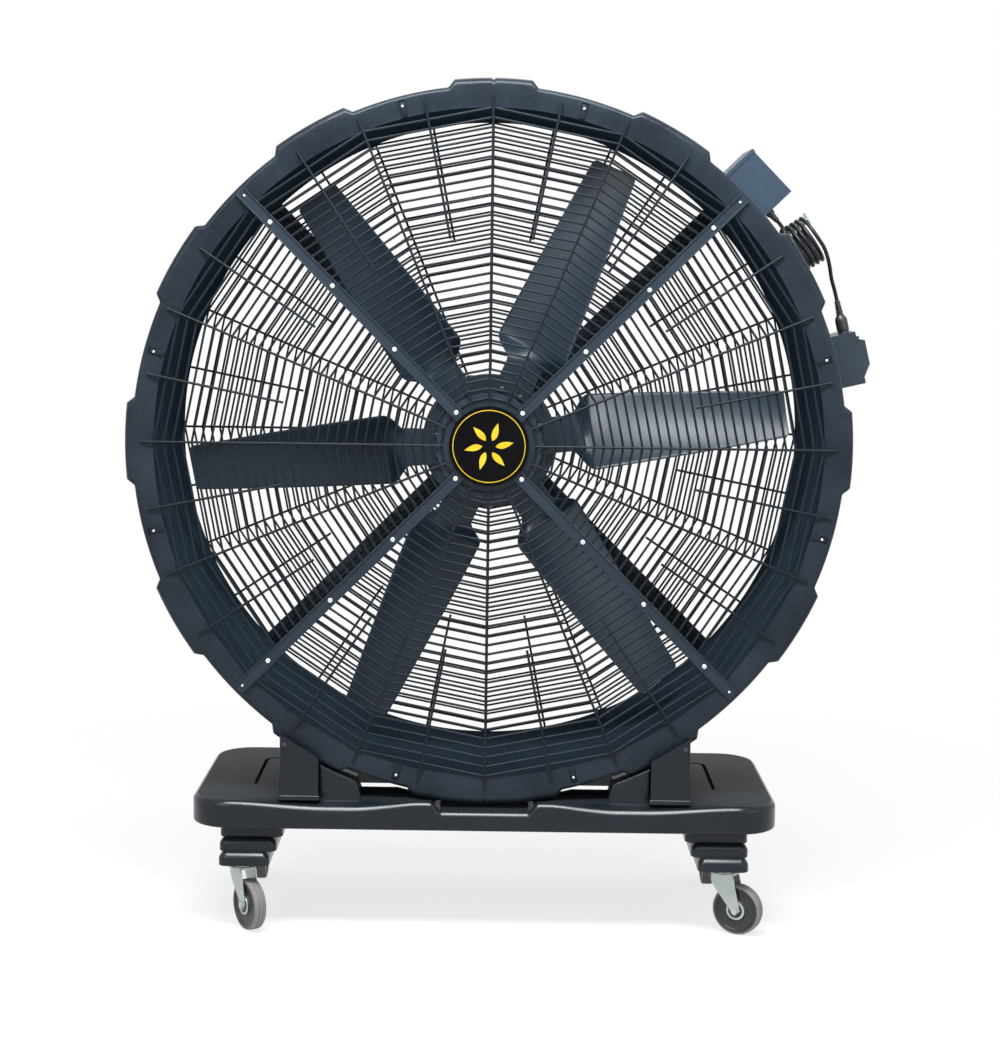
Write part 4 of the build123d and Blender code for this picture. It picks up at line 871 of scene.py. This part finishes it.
deck_rings = [(inset, DECK_BOTTOM + rise) for inset, rise in low_edge(DECK_EASE)] + [(0, 285), (0, 305)]
deck_rings += [(inset, DECK_TOP - drop) for inset, drop in lit_edge(15)]
deck_rings += [(inset, DECK_TOP) for inset in TOP_INSETS]
deck_slab = tidy(grid_mesh("deck_slab", [deck_ring(*ring) for ring in deck_rings], cap=True))
well = slab("well", 405, 178, 40, DECK_BOTTOM - 20, DECK_TOP + 40, 2, 2)
cradle = lathe("cradle", [(-264, 0), (-264, 894), (264, 894), (264, 0)], (0, 0, HUB_HEIGHT), (0, 1, 0), 180)
grooves = [[(side * x * MM, y * MM, (DECK_TOP + 1.0) * MM) for x, y in GROOVE] for side in (-1, 1)]
host = put("deck_moulding", deck_slab)
groove_mesh = settled_mesh(tube("grooves", grooves, 5 * MM, 1.0, 12))
tools = [put("well", well), put("cradle", cradle), put("grooves", groove_mesh)]
for tool in tools:
    modifier = host.modifiers.new(tool.name, "BOOLEAN")
    modifier.operation, modifier.solver, modifier.object = "DIFFERENCE", "EXACT", tool
deck_mesh = settled_mesh(host)
for tool in tools:
    bpy.data.objects.remove(tool)
deck_mesh.materials.clear()
tidy(deck_mesh, 38)
deck_mesh.materials.append(base_skin)
# The walls of the wing grooves take the same matte copy, toned for the shade in the grooves: painted shade.
deck_mesh.materials.append(bore_painted_shade)
for face in deck_mesh.polygons:
    x, y, z = (abs(value) / MM for value in face.center)
    face.material_index = int(500 < x < 592 and y < 176 and 320 < z < DECK_TOP - 0.05)
piece("deck_moulding", deck_mesh, base_skin, "base", "base", "base_deck")
print("deck with", len(deck_mesh.polygons), "faces")

# %% [markdown]
# Beside each saddle the deck swells up into a short rib that follows the drum's round underside.
# It closes most of the gap that would show between the saddle and the drum, and it is a section carried
# along the deck, with its top on the drum's own circle.

# %% saddle ribs


def rib_row(side, y, draw):
    """The rib's section at a depth, drawn in by a little at its ends for a soft edge."""
    inner, outer = 306 + draw, 407 - draw
    points = [(inner - 4, 312), (inner, 340)]
    for i in range(9):
        x = inner + 12 + (outer - inner - 12) * i / 8
        points.append((x, HUB_HEIGHT / MM - sqrt((PAD + 2 + draw) ** 2 - x ** 2)))
    return [(side * x * MM, y * MM, z * MM) for x, z in points + [(outer, 312)]]


ribs = []
for side in (-1, 1):
    for low, high in ((-262, -181), (181, 262)):
        depths = ((low, 3), (low + 1, 1), (low + 3, 0), (high - 3, 0), (high - 1, 1), (high, 3))
        ribs.append(tidy(grid_mesh("saddle_rib", [rib_row(side, y, draw) for y, draw in depths], cap=True)))
piece("saddle_ribs", tidy(join_meshes("saddle_ribs", ribs)), base_skin, "base", "base")
print("saddle ribs:", len(ribs))

# %% [markdown]
# Under each corner hangs a foot of three stepped tiers.
# The lower tiers stand further out than the one above, and it is their broad rounded ledges that catch the
# light in the photograph.

# %% corner feet
CORNERS = {
    "front_left": (-1, -1, -56), "front_right": (1, -1, -28),
    "rear_left": (-1, 1, -90), "rear_right": (1, 1, -90),
}
FOOT_LOW, FOOT_OUTER = 168.0, 653
TIERS = ((498, 196, 132, 20), (512, 208, 142, 2), (528, 225, 142, 2))
tier_step = (DECK_BOTTOM - FOOT_LOW) / 3
tiers = []
for sx, sy, way in CORNERS.values():
    for i, (inner, middle, length, overlap) in enumerate(TIERS):
        low = DECK_BOTTOM - (i + 1) * tier_step
        half_x = (FOOT_OUTER - inner) / 2
        tier = slab("foot_tier", half_x, length / 2, 20, low, low + tier_step + overlap, 19, 1.5)
        tier.transform(Matrix.Translation((sx * (FOOT_OUTER + inner) / 2 * MM, sy * middle * MM, 0)))
        tiers.append(tier)
feet = shaded(join_meshes("foot_tiers", tiers), 40)
piece("foot_tiers", feet, base_skin, "base", "base", "corner_feet")
print("foot tiers:", len(tiers))

# %% [markdown]
# The motor is a ribbed casting: thin cooling fins stand round it, made by the same turned rows tree.
# The cable's two ends get what keeps a cable from kinking, a boot that tapers and is ribbed so that it
# bends evenly, on the gland's nut at one end and on the connector's body at the other.

# %% motor fins and cable ends
fins = turned_copies(soft_box((-2, -1.3, 0), (6, 1.3, 130), 0.6), motor_paint, 36, 0, -108, 150)
piece("motor_fins", tidy(fins, merge=FINE_MERGE), motor_paint, "base", "motor")


def boot_profile(start, length, wide, narrow, ribs):
    """A tapered boot with ribs, as (distance along it, radius), ending flat at its narrow end."""
    points = []
    pitch = length / ribs
    for i in range(ribs):
        radius = wide + (narrow - wide) * i / ribs
        along = start + i * pitch
        points += [(along, radius - 1.6), (along + 0.25 * pitch, radius - 1.6)]
        points += [(along + 0.4 * pitch, radius), (along + 0.8 * pitch, radius - 0.3)]
    return points + [(start + length, narrow - 1.4), (start + length, 0)]


def along_room(x, y, z, angle):
    """A direction in the fan's frame, turned about its axis, as a direction in the room."""
    return STAND_UP.to_3x3() @ Vector(turned(x, y, z, angle))


body_profile = [(0, 0), (0, 13.4), (1.6, 15.0), (6, 15.5), (27, 15.5), (33, 14.6), (38, 12.2)]
body_profile += [(CONNECTOR_BODY, 10.4)] + boot_profile(CONNECTOR_BODY, CONNECTOR_BOOT, 9.8, 7.4, 6)
connector_base = fan_point(*turned(CONNECTOR_U, CONNECTOR_V, CONNECTOR_DEPTH, SWITCH_ANGLE))
connector_mesh = lathe("connector", body_profile, connector_base, along_room(0, 1, 0, SWITCH_ANGLE), 40)
connector = piece("connector", connector_mesh, black_plastic, "base", "black_plastic", "cord_connector")
gland_base = fan_point(*turned(GLAND_U, GLAND_V, GLAND_DEPTH, BOX_ANGLE))
nut_profile = [(0, 0), (0, 11.4), (0.8, 12), (8.2, 12), (9, 11.2), (9, 0)]
boot = [(8.6, 0), (8.6, 9.6), (10.5, 9.4)] + boot_profile(10.5, GLAND_LENGTH - 10.5, 9.0, 7.2, 4)
gland_parts = [
    lathe("gland", profile, gland_base, along_room(0, -1, 0, BOX_ANGLE), sides)
    for profile, sides in ((nut_profile, 6), (boot, 32))
]
piece("gland", join_meshes("gland", gland_parts), black_plastic, "base", "black_plastic", "cord_gland")
print("fins, connector and gland made")

# %% [markdown]
# The CAD pieces that already have the right shape stay.
# They get their finish and a narrow rounded edge: their triangles are welded first, then a Bevel modifier
# rounds only what is really an edge.

# %% dressed CAD pieces
DRESSED = (
    (base_skin, 4, "upright_left upright_right"), (dark_screw, 0.8, "saddle_bolts"),
    (arm_coat, 0.7, "front_arms"), (arm_coat, 0.8, "rear_arms"), (badge_black, 1.2, "badge_disc"),
    (arm_coat, 1.0, "front_centre_plate motor_plate motor_carrier"), (motor_paint, 3.0, "motor_housing"),
    (hub_paint, 1.5, "rotor_hub blade_clamps"), (box_coat, 0.6, "drive_box drive_box_lid"),
    (switch_skin, 2.0, "switch_box"), (switch_skin, 0.8, "switch_flap"),
    (black_plastic, 0.5, "breaker_toggle speed_knob mains_inlet"),
    (zinc, 0.8, "caster_plates cord_hook brake_pedal_rear_left brake_pedal_rear_right"),
    (zinc, 0.8, " ".join("caster_fork_" + corner for corner in CORNERS)),
)
for material, ease, names in DRESSED:
    for name in names.split():
        kept = nodes[name]
        kept.data.materials.clear()
        kept.data.materials.append(material)
        kept.modifiers.new("weld", "WELD").merge_threshold = MERGE
        soft = kept.modifiers.new("soft_edges", "BEVEL")
        soft.width, soft.segments, soft.harden_normals = ease * MM, 2, True
        soft.limit_method, soft.angle_limit = "ANGLE", radians(30)
print("dressed the kept CAD pieces")

# %% [markdown]
# The casters roll on rubber tyres with two grooves round the tread, on a black core with a raised boss, and
# a thin zinc disc on each side keeps threads off the axle.
# Turned parts are a closed profile taken round an axis, and half of each profile mirrors the other.

# %% wheels
WHEEL_RADIUS, TRAIL = 62.5, 38.0
CASTER_X, CASTER_Y = 0.6, 0.225
half_tread = [
    (0, 62.5), (3.2, 62.5), (3.6, 60.9), (5.0, 60.9), (5.4, 62.4), (10.0, 62.2), (13.6, 61.2), (15.4, 59.2),
    (16.0, 56.5), (13.0, 50.2), (0, 50.2),
]
half_core = [
    (0, 50.1), (13.0, 50.1), (15.2, 50.1), (15.5, 50.4), (15.9, 56.3), (16.2, 56.3),
    (15.0, 50.0), (13.6, 49.0), (12.6, 46.0), (12.4, 34.0), (13.0, 27.0), (15.6, 25.6),
    (16.2, 24.6), (16.3, 17.5), (18.1, 17.0), (18.1, 5.3),
]
guard_profile = [(16.7, 18.5), (16.7, 23.0), (17.1, 24.0), (18.2, 23.4), (18.35, 18.5)]
tread = half_tread + [(-a, r) for a, r in reversed(half_tread[1:-1])]
core = half_core + [(-a, r) for a, r in reversed(half_core[1:])]
for corner, (sx, sy, way) in CORNERS.items():
    c, s = cos(radians(way)), sin(radians(way))
    centre = (sx * CASTER_X + TRAIL * MM * c, sy * CASTER_Y + TRAIL * MM * s, WHEEL_RADIUS * MM)
    axle = (-s, c, 0)
    roller = "roller_" + corner
    piece("tyre_" + corner, lathe("tyre", tread, centre, axle, 72), tread_rubber, roller, "rubber")
    hub = lathe("wheel_core", core, centre, axle, 72)
    piece("wheel_core_" + corner, hub, wheel_core, roller, "rubber", "wheel_" + corner)
    guards = [lathe("guard", [(side * a, r) for a, r in guard_profile], centre, axle, 40) for side in (-1, 1)]
    piece("thread_guard_" + corner, join_meshes("guards", guards), zinc, "swivel_" + corner, "steel")
print("wheels made")

# %% [markdown]
# The badge on the hub is a gloss black disc with a thin gold ring.
# The mark that fills it on the real fan is left off, and a plain six-petal rotor, cut from flat gold,
# stands in its place.

# %% badge
BADGE_FACE, GOLD_FACE = 273.0, 273.7
PETAL_STEPS, PETAL_START, PETAL_LENGTH = 14, 16, 44
hub_place, forward = fan_point(0, 0, 0), (0, -1, 0)
ring_profile = [(BADGE_FACE, 86.8), (BADGE_FACE, 89.0), (GOLD_FACE, 88.8), (GOLD_FACE, 87.0)]
ring = lathe("badge_ring", ring_profile, hub_place, forward, 96)
bezel_profile = [(266.0, 89.5), (272.4, 89.5), (272.4, 96.2), (271.6, 97.0), (266.0, 97.0)]
bezel = lathe("badge_bezel", bezel_profile, hub_place, forward, 96)
piece("badge_bezel", bezel, badge_black, "base", "badge")
outline = []
for j in [*range(PETAL_STEPS + 1), *range(1 - PETAL_STEPS, 0)]:
    share = abs(j) / PETAL_STEPS
    wide = (9.5 if j >= 0 else -6.5) * sin(pi * share ** 0.8)
    outline.append((PETAL_START + PETAL_LENGTH * share, wide + 10 * share * share))
work = bmesh.new()
for i in range(6):
    low, high = (
        [work.verts.new(fan_point(*turned(x, y, z, 60 * i))) for x, y in outline]
        for z in (BADGE_FACE, GOLD_FACE)
    )
    work.faces.new(high)
    work.faces.new(low[::-1])
    for j in range(len(low)):
        k = (j + 1) % len(low)
        work.faces.new((low[j], low[k], high[k], high[j]))
petals = tidy(flushed(work, bpy.data.meshes.new("badge_petals")), 30)
piece("badge_ornament", join_meshes("badge_ornament", [ring, petals]), badge_gold, "base", "badge")
print("badge ornament made")

# %% [markdown]
# The photograph is cut out on white.
# The floor is pale and keeps the fan's shadow near it, while a share of plain white, growing with distance,
# makes it run into the white world.
# Lamps are large and soft so that the colours of the finishes read as they are written, and one bluish
# lamp above the drum stands for the open sky, which lights the upper rim more than the lower one.

# %% floor and world


def looking_rays(tree):
    """1 for the rays that look at a surface, straight or in a mirror, and 0 for those that only light it."""
    rays = tree.nodes.new("ShaderNodeLightPath").outputs
    seen = add_math(tree, "ADD", rays["Is Camera Ray"], rays["Is Glossy Ray"], clamp=True)
    return add_math(tree, "ADD", seen, rays["Is Transmission Ray"], clamp=True)


def blend_into(tree, share, first, second, socket):
    """Blend two shaders by a share and join the result to a socket."""
    at = {0: share, 1: first.outputs[0], 2: second.outputs[0]}
    tree.links.new(add_node(tree, "ShaderNodeMixShader", at=at).outputs[0], socket)


floor_mesh = bpy.data.meshes.new("floor")
floor_mesh.from_pydata([(-40, -40, 0), (40, -40, 0), (40, 40, 0), (-40, 40, 0)], [], [(0, 1, 2, 3)])
floor = put("floor", floor_mesh)
pale = bpy.data.materials.new("pale_floor")
pale.use_nodes = True
tree = pale.node_tree
shader = tree.nodes["Principled BSDF"]
shader.inputs["Base Color"].default_value = (0.86, 0.86, 0.86, 1)
shader.inputs["Roughness"].default_value = 0.9
place = tree.nodes.new("ShaderNodeTexCoord").outputs["Object"]
reach = add_node(tree, "ShaderNodeVectorMath", {"operation": "LENGTH"}, {0: place}).outputs["Value"]
fade = add_node(tree, "ShaderNodeMapRange", Value=reach, From_Min=0.6, From_Max=3.0, To_Min=0.75, To_Max=1.0)
share = add_math(tree, "MULTIPLY", looking_rays(tree), fade.outputs[0])
white = add_node(tree, "ShaderNodeEmission", Strength=1.0)
blend_into(tree, share, shader, white, tree.nodes["Material Output"].inputs["Surface"])
floor_mesh.materials.append(pale)

world = scene.world or bpy.data.worlds.new("world")
scene.world = world
world.use_nodes = True
tree = world.node_tree
tree.nodes.clear()
sky = add_node(tree, "ShaderNodeBackground", Color=(0.92, 0.95, 1.0, 1), Strength=0.45)
white = add_node(tree, "ShaderNodeBackground", Color=(1, 1, 1, 1), Strength=1.0)
out = tree.nodes.new("ShaderNodeOutputWorld")
blend_into(tree, looking_rays(tree), sky, white, out.inputs["Surface"])
scene.view_settings.view_transform = "Standard"
print("floor and world ready")

# %% lamps


def lamp(name, place, aim, size, power, colour=(1, 1, 1), depth=None):
    """A soft square lamp that looks at a point, or an oblong one when its depth is given."""
    light = bpy.data.lights.new(name, "AREA")
    light.shape, light.size, light.energy, light.color = "SQUARE", size, power, colour
    if depth:
        light.shape, light.size_y = "RECTANGLE", depth
    turn = (Vector(aim) - Vector(place)).to_track_quat("-Z", "Y").to_matrix().to_4x4()
    put(name, light).matrix_world = Matrix.Translation(place) @ turn


lamp("overhead_lamp", (-0.2, -2.3, 4.5), (0, -0.3, 1.6), 3.4, 250, depth=0.8)
lamp("left_lamp", (-3.2, -4.2, 4.0), (0, 0, 1.5), 2.6, 75)
lamp("right_lamp", (4.2, -3.6, 2.6), (0, 0, 1.5), 3.0, 45)
lamp("rear_lamp", (0.4, 1.8, 4.6), (0, 0, 1.0), 2.6, 60)
lamp("sky_lamp", (0, -1.35, 2.95), (0, -0.3, 2.0), 1.7, 45, (0.84, 0.93, 1.0), depth=0.4)
print("lamps set")

# %% [markdown]
# The cable gets its jacket finish, and the scene is brought up to date.

cable.data.materials.append(cable_jacket)
bpy.context.view_layer.update()
